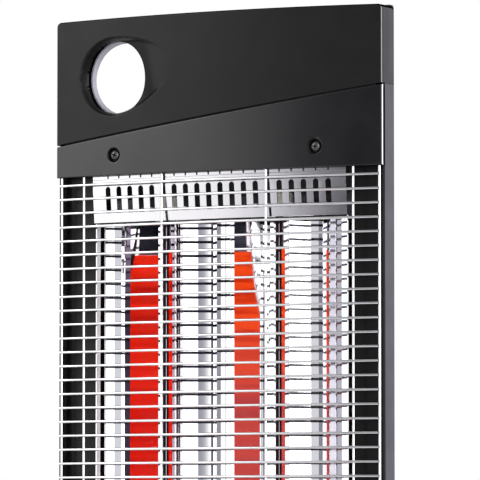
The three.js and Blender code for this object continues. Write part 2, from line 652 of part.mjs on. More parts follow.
const PLUNGER = { radius: 3.5, y: 8 };
const PLATE_BOLTS = [[-44, 8], [44, 8]];
let plate = solid(plateBlank)
  .subtract(solid(rodZ(PLUNGER.radius + 0.6, 0, 30, 0, PLUNGER.y, 20)));
for (const [x, y] of PLATE_BOLTS) {
  plate = plate
    .subtract(solid(rodZ(2.6, 0, 30, x, y, 12)))
    .subtract(solid(rodZ(5.2, 0, 9, x, y, 16)));
}
add('base_plate', shape3d(plate), CHARCOAL, base);

// Pedestal: a tapering block with a tongue that rises behind the body.
const PEDESTAL_LOW = BASE.high + GAP;
const backFace = PAN_BACK - CENTRE_Y + GAP;
const pedestalSide = polygon([
  [-38, PEDESTAL_LOW], [-28, BOTTOM - GAP], [backFace, BOTTOM - GAP], [backFace, 96],
  [backFace + 5, 96], [backFace + 8, 50], [38, PEDESTAL_LOW],
]);
const front = polygon([
  [-78, PEDESTAL_LOW], [78, PEDESTAL_LOW], [62, BOTTOM], [56, 90], [50, 96], [-50, 96],
  [-56, 90], [-62, BOTTOM],
]);
const SWITCH_BOX = { x: 11, y0: -2, y1: 18, z: 40 };
let pedestal = solid(across(pedestalSide, -FAR, FAR)).intersect(solid(carried(front, -80, 80)))
  .subtract(solid(box(-SWITCH_BOX.x - GAP, SWITCH_BOX.y0 - GAP, 0,
    SWITCH_BOX.x + GAP, SWITCH_BOX.y1 + GAP, SWITCH_BOX.z + GAP)));
for (const [x, y] of PLATE_BOLTS) {
  pedestal = pedestal.subtract(solid(rodZ(2.2, 0, 27, x, y, 12)));
}
for (const side of [-1, 1]) {
  pedestal = pedestal.subtract(solid(
    rodY(BRACKET_BOLT.radius + GAP, -10, 60, side * BRACKET_BOLT.x, BRACKET_BOLT.z, 16)));
}
add('pedestal', shape3d(pedestal), CHARCOAL, base);

PLATE_BOLTS.forEach(([x, y], index) => {
  add(`plate_bolt_${index + 1}`, turnedZ([
    [0, 5.4], [4.8, 5.4], [4.8, 8.6], [1.9, 8.6], [1.9, 26], [0, 26],
  ], x, y, 16), STEEL, base);
});
for (const [side, sign] of SIDES) {
  const { radius, headRadius, headHeight } = BRACKET_BOLT;
  const under = backFace + 7.4;
  const end = under + headHeight;
  add(`bracket_bolt_${side}`, turnedY([
    [0, -6], [radius, -6], [radius, under], [headRadius, under],
    [headRadius, end - 1.5], [headRadius - 1.5, end], [0, end],
  ], sign * BRACKET_BOLT.x, BRACKET_BOLT.z, 20), BLACK, base);
}

for (const [row, y] of [['front', -72], ['back', 72]]) {
  for (const [side, x] of [['left', -84], ['right', 84]]) {
    add(`foot_${row}_${side}`, turnedZ([
      [0, 0], [9, 0], [10.5, 1.5], [10.5, BASE.low - GAP], [0, BASE.low - GAP],
    ], x, y, 20), RUBBER, base);
  }
}

// Tip-over switch: the floor holds its plunger up against a spring.
const BORE = PLUNGER.radius + 0.5;
const SPRING_LOW = 26.3;
const SPRING_TOP = 37;
add('tip_switch_housing', shape3d(
  solid(box(-SWITCH_BOX.x, SWITCH_BOX.y0, PEDESTAL_LOW, SWITCH_BOX.x, SWITCH_BOX.y1, SWITCH_BOX.z))
    .subtract(solid(rodZ(BORE, 0, SPRING_TOP + GAP, 0, PLUNGER.y, 20)))), CERAMIC, base);
add('tip_plunger', turnedZ([
  [0, 0.3], [2.4, 0.3], [PLUNGER.radius, 1.5], [PLUNGER.radius, SPRING_LOW - GAP],
  [0, SPRING_LOW - GAP],
], 0, PLUNGER.y, 20), AMBER, base);
class Helix extends THREE.Curve {
  getPoint(t, target = new THREE.Vector3()) {
    const turns = 4;
    const angle = 2 * Math.PI * turns * t;
    const wireHalf = 0.45;
    const z = SPRING_LOW + wireHalf + (SPRING_TOP - SPRING_LOW - 2 * wireHalf) * t;
    return target.set(2.9 * Math.cos(angle), PLUNGER.y + 2.9 * Math.sin(angle), z);
  }
}
const coil = new THREE.Shape();
coil.absarc(0, 0, 0.4, 0, Math.PI * 2);
add('tip_spring', new THREE.ExtrudeGeometry(coil,
  { steps: 36, extrudePath: new Helix(), curveSegments: 3 }), STEEL, base);

export default heater;
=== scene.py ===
import json
import math
from contextlib import contextmanager

import bmesh
import bpy
import numpy as np
from mathutils import Matrix, Vector


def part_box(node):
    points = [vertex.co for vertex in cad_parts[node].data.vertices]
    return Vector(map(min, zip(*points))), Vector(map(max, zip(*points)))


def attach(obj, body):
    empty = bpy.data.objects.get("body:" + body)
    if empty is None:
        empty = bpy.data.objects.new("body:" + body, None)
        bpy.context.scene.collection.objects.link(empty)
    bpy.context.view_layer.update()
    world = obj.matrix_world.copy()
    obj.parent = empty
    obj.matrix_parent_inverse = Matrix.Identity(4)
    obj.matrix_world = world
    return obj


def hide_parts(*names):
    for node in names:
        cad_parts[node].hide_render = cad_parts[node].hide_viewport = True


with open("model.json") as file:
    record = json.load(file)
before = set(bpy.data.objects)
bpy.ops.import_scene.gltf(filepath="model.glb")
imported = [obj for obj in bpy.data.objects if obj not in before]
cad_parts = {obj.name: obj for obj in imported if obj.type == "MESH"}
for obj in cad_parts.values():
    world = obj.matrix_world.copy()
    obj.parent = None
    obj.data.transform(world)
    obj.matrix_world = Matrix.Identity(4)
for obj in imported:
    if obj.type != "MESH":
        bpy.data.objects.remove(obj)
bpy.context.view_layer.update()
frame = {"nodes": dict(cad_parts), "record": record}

# Lengths are millimetres in the row frame until mesh_object() turns them into metres.

# ---- sizes from the frame


def span(node):
    """Lowest and highest corner of a CAD node, in millimetres."""
    low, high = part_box(node)
    return Vector(low) * 1000, Vector(high) * 1000


def middle(node):
    low, high = span(node)
    return (low + high) / 2


HALF, COVER_BACK, TOP = span("head_cover")[1]
BOTTOM = span("control_cover")[0].z
MID = (TOP + BOTTOM) / 2
SIDE_DEPTH = 19  # of the covers' side walls
FRONT_Y = COVER_BACK - SIDE_DEPTH  # front corners of the body
FRONT_RADIUS = 1275  # of the bowed front, in plan
SKIN = 2.5  # wall thickness of the mouldings

SEAM_MID = 717  # height of the slanted seam between head and trim, at the middle
SEAM_SLOPE = 0.128
SEAM_GAP = 0.6  # from the seam to the edge on each side of it
TRIM_LOW = span("upper_trim")[0].z

HOLE = middle("handle_liner")
HOLE_RADIUS = 29.1
HOLE_SHIFT = Vector((-0.7, 0, 0.9))  # of the head's moulded hole from the liner's CAD place
SCOOP_X = HOLE.x + 0.7
SCOOP_Z = HOLE.z + 1.2
SCOOP_LEFT, SCOOP_UP, SCOOP_DOWN = 33.7, 31.8, 31.6  # reach of its outline from its middle
SHOULDER = 26  # its sides are drawn in from here, right of its middle
TIP_X, TIP_Z = SCOOP_X + 54, SCOOP_Z + 5
FLOOR_X, FLOOR_Y, FLOOR_SLOPE = -121, FRONT_Y + 8, 0.172  # a point of its floor, and its slope


def front_y(x):
    """Depth of the bowed front at x."""
    return FRONT_Y + math.sqrt(FRONT_RADIUS**2 - HALF**2) - np.sqrt(FRONT_RADIUS**2 - np.square(x))


def seam_z(x):
    return SEAM_MID + SEAM_SLOPE * np.asarray(x)


def scoop_floor(x):
    return FLOOR_Y - FLOOR_SLOPE * (x - FLOOR_X)


# ---- mesh helpers

BODY_OF = {
    node: body
    for body, nodes in frame["record"]["behaviour"]["bodies"].items()
    for node in nodes
}
WELD = 2e-6  # metres within which doubled points are joined


@contextmanager
def edited(mesh):
    """The mesh as editable geometry, which is written back at the end."""
    bm = bmesh.new()
    bm.from_mesh(mesh)
    yield bm
    bm.to_mesh(mesh)
    bm.free()


def mesh_object(name, points, faces):
    """A new object from millimetre points."""
    mesh = bpy.data.meshes.new(name)
    mesh.from_pydata([tuple(0.001 * c for c in p) for p in points], [], faces)
    return object_from(mesh, name)


def object_from(mesh, name):
    obj = bpy.data.objects.new(name, mesh)
    bpy.context.scene.collection.objects.link(obj)
    crisp(obj)
    return obj


def crisp(obj, angle=35):
    """Smooth shading, apart from edges sharper than the angle."""
    obj.data.polygons.foreach_set("use_smooth", [True] * len(obj.data.polygons))
    obj.data.set_sharp_from_angle(angle=math.radians(angle))


def cleaned(obj, angle=35):
    """Welds doubled points and turns every face outwards."""
    with edited(obj.data) as bm:
        bmesh.ops.remove_doubles(bm, verts=bm.verts, dist=WELD)
        bmesh.ops.recalc_face_normals(bm, faces=bm.faces)
    crisp(obj, angle)
    return obj


def baked(obj, angle=35):
    """Applies an object's modifiers to its mesh."""
    graph = bpy.context.evaluated_depsgraph_get()
    mesh = bpy.data.meshes.new_from_object(obj.evaluated_get(graph))
    obj.modifiers.clear()
    old = obj.data
    obj.data = mesh
    bpy.data.meshes.remove(old)
    crisp(obj, angle)
    return obj


def cut(obj, *cutters):
    """Cuts other objects, which are used up, out of a piece."""
    for cutter in cutters:
        step = obj.modifiers.new("cut", "BOOLEAN")
        step.operation = "DIFFERENCE"
        step.solver = "EXACT"
        step.object = cutter
    baked(obj)
    for cutter in cutters:
        bpy.data.objects.remove(cutter)


def rounded(obj, width, segments=2, angle=35):
    step = obj.modifiers.new("round", "BEVEL")
    step.width = width * 0.001
    step.segments = segments
    step.limit_method = "ANGLE"
    step.angle_limit = math.radians(angle)
    step.use_clamp_overlap = True
    step.miter_outer = "MITER_ARC"
    return baked(obj, 40)


def joined(name, *objs):
    """One object from several, keeping their materials."""
    mesh = bpy.data.meshes.new(name)
    with edited(mesh) as bm:
        for obj in objs:
            start = len(mesh.materials)
            before = len(bm.faces)
            bm.from_mesh(obj.data)
            bm.faces.ensure_lookup_table()
            for face in bm.faces[before:]:
                face.material_index += start
            for material in obj.data.materials:
                mesh.materials.append(material)
    for obj in objs:
        bpy.data.objects.remove(obj)
    return object_from(mesh, name)


def painted(obj, *paints):
    """Gives an object these materials, in this order, in place of its own."""
    obj.data.materials.clear()
    for paint in paints:
        obj.data.materials.append(PAINT[paint])
    return obj


def finished(obj, *nodes):
    """Gives a piece its CAD nodes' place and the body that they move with."""
    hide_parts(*nodes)
    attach(obj, BODY_OF[nodes[0]])
    return obj


def lathe(name, profile, centre, axis="Y", sides=48):
    """Turns [radius, along] pairs about Y or Z through centre; a profile may start or end at radius 0."""
    points, faces, rings = [], [], []
    for radius, along in profile:
        ring = []
        for k in range(sides if radius else 1):
            turn = 2 * math.pi * k / sides
            u, v = radius * math.cos(turn), radius * math.sin(turn)
            ring.append(len(points))
            points.append(Vector(centre) + Vector((u, along, v) if axis == "Y" else (u, v, along)))
        rings.append(ring)
    for a, b in zip(rings, rings[1:]):
        for k in range(sides):
            n = (k + 1) % sides
            loop = [a[k % len(a)], a[n % len(a)], b[n % len(b)], b[k % len(b)]]
            loop = list(dict.fromkeys(loop))
            if len(loop) > 2:
                faces.append(loop)
    return cleaned(mesh_object(name, points, faces))


def swept(name, sections):
    """A solid through closed sections with the same number of points, flat at both ends."""
    n = len(sections[0])
    faces = []
    for i in range(len(sections) - 1):
        for k in range(n):
            m = (k + 1) % n
            faces.append([i * n + k, i * n + m, (i + 1) * n + m, (i + 1) * n + k])
    total = n * len(sections)
    faces += [list(range(n))[::-1], list(range(total - n, total))]
    return cleaned(mesh_object(name, [point for section in sections for point in section], faces))


def tube(name, path, radius, sides):
    """A round wire along a list of points."""
    path = [Vector(p) for p in path]
    reference = Vector((0, 0, 1))
    if abs((path[1] - path[0]).normalized().dot(reference)) > 0.9:
        reference = Vector((1, 0, 0))
    turns = [2 * math.pi * k / sides for k in range(sides)]
    rings = []
    for i, here in enumerate(path):
        ahead = path[min(i + 1, len(path) - 1)] - path[max(i - 1, 0)]
        ahead.normalize()
        side = ahead.cross(reference).normalized()
        up = side.cross(ahead)
        rings.append([here + radius * (math.cos(turn) * side + math.sin(turn) * up) for turn in turns])
    return swept(name, rings)


def box_object(name, low, high):
    mesh = bpy.data.meshes.new(name)
    with edited(mesh) as bm:
        bmesh.ops.create_cube(bm, size=1)
    low, high = Vector(low) * 0.001, Vector(high) * 0.001
    mesh.transform(Matrix.Translation((low + high) / 2) @ Matrix.Diagonal((*(high - low), 1)))
    return object_from(mesh, name)


def turned_over(obj):
    """Turns a piece half a revolution about the body's middle, in place."""
    turn = Matrix.Rotation(math.pi, 4, "Y")
    shift = Matrix.Translation((0, 0, MID * 0.001))
    obj.data.transform(shift @ turn @ shift.inverted())
    return obj


def refined(node, paint, width, segments=2, angle=35):
    """The CAD node's own shape with its flat faces joined and its edges rounded; width 0 leaves both."""
    mesh = frame["nodes"][node].data.copy()
    mesh.materials.clear()
    obj = object_from(mesh, node + "_fine")
    with edited(mesh) as bm:
        bmesh.ops.remove_doubles(bm, verts=bm.verts, dist=WELD)
        if width:
            bmesh.ops.dissolve_limit(bm, angle_limit=math.radians(0.4), verts=bm.verts, edges=bm.edges)
    if width:
        rounded(obj, width, segments, angle)
    crisp(obj, 20)
    return finished(painted(obj, paint), node)


# ---- materials


class Nodes:
    """Short ways to add nodes to a node tree."""

    def __init__(self, tree):
        self.tree = tree

    def node(self, kind, inputs=None, **settings):
        """A new node; an input is a value or the output of another node."""
        node = self.tree.nodes.new(kind)
        for key, value in settings.items():
            setattr(node, key, value)
        for key, value in (inputs or {}).items():
            if isinstance(value, bpy.types.NodeSocket):
                self.link(value, node.inputs[key])
            else:
                node.inputs[key].default_value = value
        return node

    def link(self, source, target):
        self.tree.links.new(source, target)

    def math(self, operation, *inputs):
        return self.node("ShaderNodeMath", dict(enumerate(inputs)), operation=operation).outputs["Value"]

    def mix(self, a, b, factor):
        mixed = self.node("ShaderNodeMix", {"A": a, "B": b, "Factor": factor}, data_type="RGBA")
        return mixed.outputs["Result"]

    def ramp(self, source, low, high, start=0.3, end=0.7):
        """Spreads a value's range from start to end over the range from low to high."""
        limits = {"From Min": start, "From Max": end, "To Min": low, "To Max": high}
        return self.node("ShaderNodeMapRange", {"Value": source, **limits}).outputs["Result"]


class Finish(Nodes):
    """A node material: a Principled shader whose colour, roughness and bump come from noise."""

    def __init__(self, name, colour, roughness, metallic=0.0, **sockets):
        self.material = bpy.data.materials.new(name)
        self.material.use_nodes = True
        super().__init__(self.material.node_tree)
        self.shader = self.tree.nodes["Principled BSDF"]
        sockets |= {"Base_Color": (*colour, 1), "Roughness": roughness, "Metallic": metallic}
        for socket, value in sockets.items():
            self.shader.inputs[socket.replace("_", " ")].default_value = value
        self.place = self.node("ShaderNodeTexCoord").outputs["Object"]

    def noise(self, scale, detail, stretch=(1, 1, 1)):
        place = self.node("ShaderNodeMapping", {"Scale": stretch, "Vector": self.place})
        settings = {"Scale": scale, "Detail": detail, "Vector": place.outputs["Vector"]}
        return self.node("ShaderNodeTexNoise", settings).outputs["Fac"]

    def vary_roughness(self, scale, low, high, stretch=(1, 1, 1)):
        self.link(self.ramp(self.noise(scale, 4, stretch), low, high), self.shader.inputs["Roughness"])
        return self

    def vary_colour(self, scale, dark, light, stretch=(1, 1, 1)):
        share = self.ramp(self.noise(scale, 5, stretch), 0, 1)
        self.link(self.mix((*dark, 1), (*light, 1), share), self.shader.inputs["Base Color"])
        return self

    def bump(self, scale, height, detail=2.0, stretch=(1, 1, 1)):
        """Relief from noise, with its height in millimetres."""
        relief = self.noise(scale, detail, stretch)
        bump = self.node("ShaderNodeBump", {"Strength": 1.0, "Distance": height * 0.001, "Height": relief})
        self.link(bump.outputs["Normal"], self.shader.inputs["Normal"])
        return self


# Each row: name, colour, roughness, metallic and specular level; then, where a finish has them, the
# noise of its colour, of its roughness and of its bump.
FINISHES = {
    "charcoal": ("satin_charcoal", (0.003, 0.003, 0.0031), 0.34, 0, 0.2,
                 (9, (0.0028, 0.0028, 0.0029), (0.0036, 0.0036, 0.0037)), (40, 0.3, 0.38), (1500, 0.006)),
    "shell": ("shell_charcoal", (0.012, 0.012, 0.0145), 0.36, 0, 0.4,
              (9, (0.011, 0.011, 0.013), (0.014, 0.014, 0.017)), (40, 0.3, 0.42), (1500, 0.006)),
    "trim": ("graphite_trim", (0.002, 0.002, 0.0024), 0.16, 0, 0.55,
             (7, (0.0018, 0.0018, 0.0022), (0.0028, 0.0028, 0.0033)), (30, 0.13, 0.19), (900, 0.003)),
    # painted reflection: a dark violet strip on the left reflector, a pale one on the right
    "painted_reflection_dark": ("dark_painted_reflection", (0.12, 0.08, 0.13), 0.12, 1, 0.5,
              (60, (0.08, 0.05, 0.09), (0.16, 0.12, 0.18), (1, 1, 0.2)), (40, 0.08, 0.16), None),
    "painted_reflection_pale": ("pale_painted_reflection", (0.42, 0.41, 0.47), 0.12, 1, 0.5,
              (60, (0.38, 0.37, 0.43), (0.46, 0.45, 0.51), (1, 1, 0.2)), (40, 0.08, 0.16), None),
    "ceramic": ("white_ceramic", (0.62, 0.59, 0.53), 0.7, 0, 0.5,
                (120, (0.56, 0.53, 0.47), (0.68, 0.66, 0.6)), None, (600, 0.02)),
    "black": ("matt_black", (0.005, 0.005, 0.005), 0.55, 0, 0.3, None, (60, 0.45, 0.62), (1200, 0.01)),
    # painted shade: flat black for gaps, edge lines and the insides of recesses
    "painted_shade": ("painted_shade_black", (0.002, 0.002, 0.002), 0.9, 0, 0, None, (60, 0.85, 0.95), (900, 0.01)),
    # painted shade: the screw cups are darker and duller than the trim round them
    "cup": ("cup_painted_shade", (0.0015, 0.0015, 0.0015), 0.4, 0, 0.12, None, (60, 0.35, 0.5), (900, 0.01)),
    # painted highlight: light grey for the head's right edge
    "edge": ("painted_highlight_edge", (0.13, 0.13, 0.14), 0.2, 0, 1, None, (40, 0.16, 0.26), (900, 0.004)),
    "panel": ("panel_black", (0.003, 0.003, 0.0031), 0.3, 0, 0.18, None, (50, 0.26, 0.34), (1100, 0.01)),
    # painted shade: dark stripes on the quartz tubes
    "tube_painted_shade": ("tube_painted_shade", (0.01, 0.002, 0.004), 0.4, 0, 0.05, None,
                  (80, 0.35, 0.5, (1, 1, 0.2)), (200, 0.01, 2, (1, 1, 0.2))),
    "mirror": ("polished_aluminium", (0.93, 0.93, 0.95), 0.05, 1, 0.5, None,
               (30, 0.02, 0.07, (1, 1, 0.15)), (16, 0.04, 1, (1, 1, 0.5))),
    "sheet": ("aluminium_sheet", (0.86, 0.86, 0.87), 0.35, 0.85, 0.5, None,
              (80, 0.28, 0.42, (0.2, 1, 1)), (300, 0.008, 3, (0.1, 1, 1))),
    "bright_sheet": ("bright_sheet", (0.57, 0.56, 0.58), 0.1, 1, 0.5, None,
                     (80, 0.07, 0.16, (0.2, 1, 1)), (25, 0.02, 1)),
    "screw": ("screw_zinc", (0.085, 0.085, 0.08), 0.4, 0.9, 0.5, None, (200, 0.26, 0.42), (900, 0.006)),
    "liner": ("light_liner", (0.3, 0.3, 0.34), 0.4, 0, 0.5, None, (60, 0.34, 0.46), (900, 0.006)),
    "steel": ("zinc_steel", (0.5, 0.5, 0.52), 0.3, 1, 0.5, None, (200, 0.22, 0.4), (900, 0.006)),
    "dark_steel": ("black_steel", (0.05, 0.05, 0.053), 0.3, 0.9, 0.5, None, (200, 0.22, 0.4), (900, 0.006)),
    "rubber": ("black_rubber", (0.014, 0.014, 0.014), 0.8, 0, 0.5, None, (80, 0.7, 0.9), (700, 0.03)),
    "wiring": ("silicone_wire", (0.25, 0.05, 0.03), 0.6, 0, 0.5, None, (90, 0.5, 0.7), (500, 0.01)),
    "foil": ("lead_foil", (0.045, 0.045, 0.075), 0.35, 0.5, 0.5, None, (90, 0.3, 0.45), (400, 0.02)),
}


def noisy_finish(name, colour, roughness, metallic, specular, tint, rubbed, relief):
    finish = Finish(name, colour, roughness, metallic, Specular_IOR_Level=specular)
    if tint:
        finish.vary_colour(*tint)
    if rubbed:
        finish.vary_roughness(*rubbed)
    if relief:
        finish.bump(*relief)
    return finish


def make_materials():
    made = {key: noisy_finish(*row) for key, row in FINISHES.items()}
    made["chrome"] = chrome_with_painted_back_shade()
    made["amber"] = Finish("amber_lens", (0.75, 0.22, 0.03), 0.15, Transmission_Weight=0.5).bump(500, 0.01)
    made["quartz"] = Finish(
        "quartz_glass", (0.84, 0.80, 0.83), 0.02, Transmission_Weight=1.0, IOR=1.08
    ).bump(60, 0.004)
    made["glow_left"] = glowing_ribbon(
        "deep_red_heat", (0.3, 0.0, 0.002), (1.15, 0.026, 0.005), (0.78, 0.01, 0.007)
    )
    made["glow_right"] = glowing_ribbon(
        "orange_heat", (0.5, 0.004, 0.003), (1.15, 0.085, 0.008), (0.62, 0.1, 0.1)
    )
    return {key: finish.material for key, finish in made.items()}


def chrome_with_painted_back_shade():
    """Bright chrome in front; painted shade darkens and blues the side that faces the lamps."""
    finish = Finish("bright_chrome", (0.75, 0.75, 0.76), 0.08, 1.0)
    normal = finish.node("ShaderNodeNewGeometry").outputs["Normal"]
    facing = finish.node("ShaderNodeSeparateXYZ", {"Vector": normal}).outputs["Y"]
    # painted shade: the base colour turns dark blue where the surface faces back
    painted_back_shade = finish.mix((0.78, 0.78, 0.79, 1), (0.02, 0.018, 0.03, 1), finish.ramp(facing, 0, 1, -0.25, 0.25))
    finish.link(painted_back_shade, finish.shader.inputs["Base Color"])
    return finish.vary_roughness(120, 0.06, 0.12)


def glowing_ribbon(name, dark, light, faded):
    """Heat: patches along the ribbon, finer streaks across it, and a fade towards its middle."""
    finish = Finish(name, (0.02, 0.002, 0.001), 0.6, Specular_IOR_Level=0.0, Emission_Strength=1.0)
    patches = finish.ramp(finish.noise(16, 2, (0.2, 0.2, 1)), 0, 0.55, 0.36, 0.64)
    streaks = finish.ramp(finish.noise(240, 4, (0.4, 0.4, 1)), 0, 0.65, 0.36, 0.6)
    heat = finish.mix((*dark, 1), (*light, 1), finish.math("ADD", patches, streaks))
    height = finish.node("ShaderNodeSeparateXYZ", {"Vector": finish.place}).outputs["Z"]
    from_middle = finish.math("ABSOLUTE", finish.math("SUBTRACT", height, MID * 0.001))
    glow = finish.mix(heat, (*faded, 1), finish.ramp(from_middle, 0.6, 0, 0.06, 0.14))
    finish.link(glow, finish.shader.inputs["Emission Color"])
    return finish


PAINT = make_materials()

# ---- camera

VIEW_AZIMUTH = math.radians(30)
VIEW_DISTANCE = 3797  # from the front corners' plane, on the middle line
VIEW_BELOW_TOP = 405.8
VIEW_YAW = 0.0050
VIEW_PITCH = 0.0587
LENS = 357.6


def make_camera():
    heading = VIEW_AZIMUTH - VIEW_YAW
    right = Vector((math.cos(heading), math.sin(heading), 0))
    forward = Vector((
        -math.sin(heading) * math.cos(VIEW_PITCH),
        math.cos(heading) * math.cos(VIEW_PITCH),
        math.sin(VIEW_PITCH),
    ))
    up = right.cross(forward)
    data = bpy.data.cameras.new("camera")
    data.lens = LENS
    data.sensor_width = 36
    data.clip_end = 50
    camera = bpy.data.objects.new("camera", data)
    bpy.context.scene.collection.objects.link(camera)
    turn = Matrix((right, up, -forward)).transposed().to_4x4()
    place = Vector((
        VIEW_DISTANCE * math.sin(VIEW_AZIMUTH),
        FRONT_Y - VIEW_DISTANCE * math.cos(VIEW_AZIMUTH),
        TOP - VIEW_BELOW_TOP,
    ))
    camera.matrix_world = Matrix.Translation(place * 0.001) @ turn
    bpy.context.scene.camera = camera


make_camera()

# ---- covers


def bezier(a, b, c, d):
    t = np.linspace(0, 1, 40, endpoint=False)[:, None]
    a, b, c, d = (np.array(p, float) for p in (a, b, c, d))
    return (1 - t) ** 3 * a + 3 * (1 - t) ** 2 * t * b + 3 * (1 - t) * t**2 * c + t**3 * d


def scoop_rim():
    """The scoop's outline: round on the hole's side, drawn out to a tip on the other."""
    k = 0.5523  # handle length of a quarter circle
    x, z = SCOOP_X, SCOOP_Z
    left, up, down = SCOOP_LEFT, SCOOP_UP, SCOOP_DOWN
    return np.concatenate([
        bezier((x - left, z), (x - left, z - k * down), (x - k * left, z - down), (x, z - down)),
        bezier((x, z - down), (x + SHOULDER, z - down + 2), (TIP_X, TIP_Z - 9), (TIP_X, TIP_Z)),
        bezier((TIP_X, TIP_Z), (TIP_X, TIP_Z + 17), (x + SHOULDER, z + up), (x, z + up)),
        bezier((x, z + up), (x - k * left, z + up), (x - left, z + k * up), (x - left, z)),
    ])


def depth_inside(x, z, rim):
    """Distance from the outline, positive inside it."""
    p = np.stack([x, z], -1)[..., None, :]
    a = rim
    b = np.roll(rim, -1, axis=0)
    along = b - a
    t = np.clip(((p - a) * along).sum(-1) / (along**2).sum(-1), 0, 1)
    nearest = np.linalg.norm(p - (a + t[..., None] * along), axis=-1).min(-1)
    px, pz = p[..., 0], p[..., 1]
    crosses = (a[:, 1] > pz) != (b[:, 1] > pz)
    with np.errstate(divide="ignore", invalid="ignore"):
        at = a[:, 0] + (pz - a[:, 1]) / (b[:, 1] - a[:, 1]) * along[:, 0]
    inside = (crosses & (px < at)).sum(-1) % 2 == 1
    return np.where(inside, nearest, -nearest)


def soft_min(a, b, radius):
    """The smaller of two values, blended where they are close."""
    h = np.maximum(radius - np.abs(a - b), 0) / radius
    return np.minimum(a, b) - h * h * radius / 4


WALL_SLOPE = 2.4  # steepness of the scoop's side wall
FLOOR_FILLET = 2.0
RIM_FILLET = 1.0
RIM_FADE = 2.0  # extra softness of the rim towards the tip
RUN_OUT = 12  # the floor starts to run out this far right of the middle
RUN_OUT_SKEW = 14  # sooner on the scoop's upper side, later on its lower side
SKEW_HEIGHT = 25
RUN_OUT_PAST = 6  # and ends this far past the tip


def scoop_depth(x, z, rim):
    """The moulded front's depth behind the bowed one, inside the scoop's outline."""
    inside = depth_inside(x, z, rim)
    rise = np.clip((z - SCOOP_Z) / SKEW_HEIGHT, -1, 1)
    start = SCOOP_X + RUN_OUT - RUN_OUT_SKEW * rise
    t = np.clip((x - start) / (TIP_X + RUN_OUT_PAST - start), 0, 1)
    fade = np.clip((x - SCOOP_X) / (TIP_X - SCOOP_X), 0, 1) ** 1.5
    radius = RIM_FILLET + RIM_FADE * fade
    ended = t * t * (3 - 2 * t)
    floor = np.maximum(scoop_floor(x) - front_y(x), 0) * (1 - ended) - radius * ended
    depth = soft_min(floor, inside * WALL_SLOPE, FLOOR_FILLET)
    return -soft_min(-depth, np.zeros_like(depth), radius)


def rolled(distance, radius):
    """How far a rounded edge falls back at a distance from that edge."""
    inward = np.clip(radius - distance, 0, radius)
    return radius - np.sqrt(np.maximum(radius**2 - inward**2, 0))


EDGE_STEPS = np.array([0, 0.12, 0.3, 0.55, 0.85, 1.2, 1.7, 2.4, 3.2])  # grid lines near an edge
EDGE_ZONE = 4  # from an edge to the first of the regular grid lines
SIDE_ROLL = 1.0  # radius of the rounded side edges
CORNER = 4.0  # radius of the cover's two upper corners
CROWN = 1.05  # fall of the cover's upper edge towards its ends
COVER_ROWS = 108


def grid_lines(stops, steps):
    """Lines from the first stop to the last, with a step for each stretch."""
    return np.concatenate([
        np.linspace(start, stop, max(2, round((stop - start) / step) + 1))
        for start, stop, step in zip(stops, stops[1:], steps)
    ])


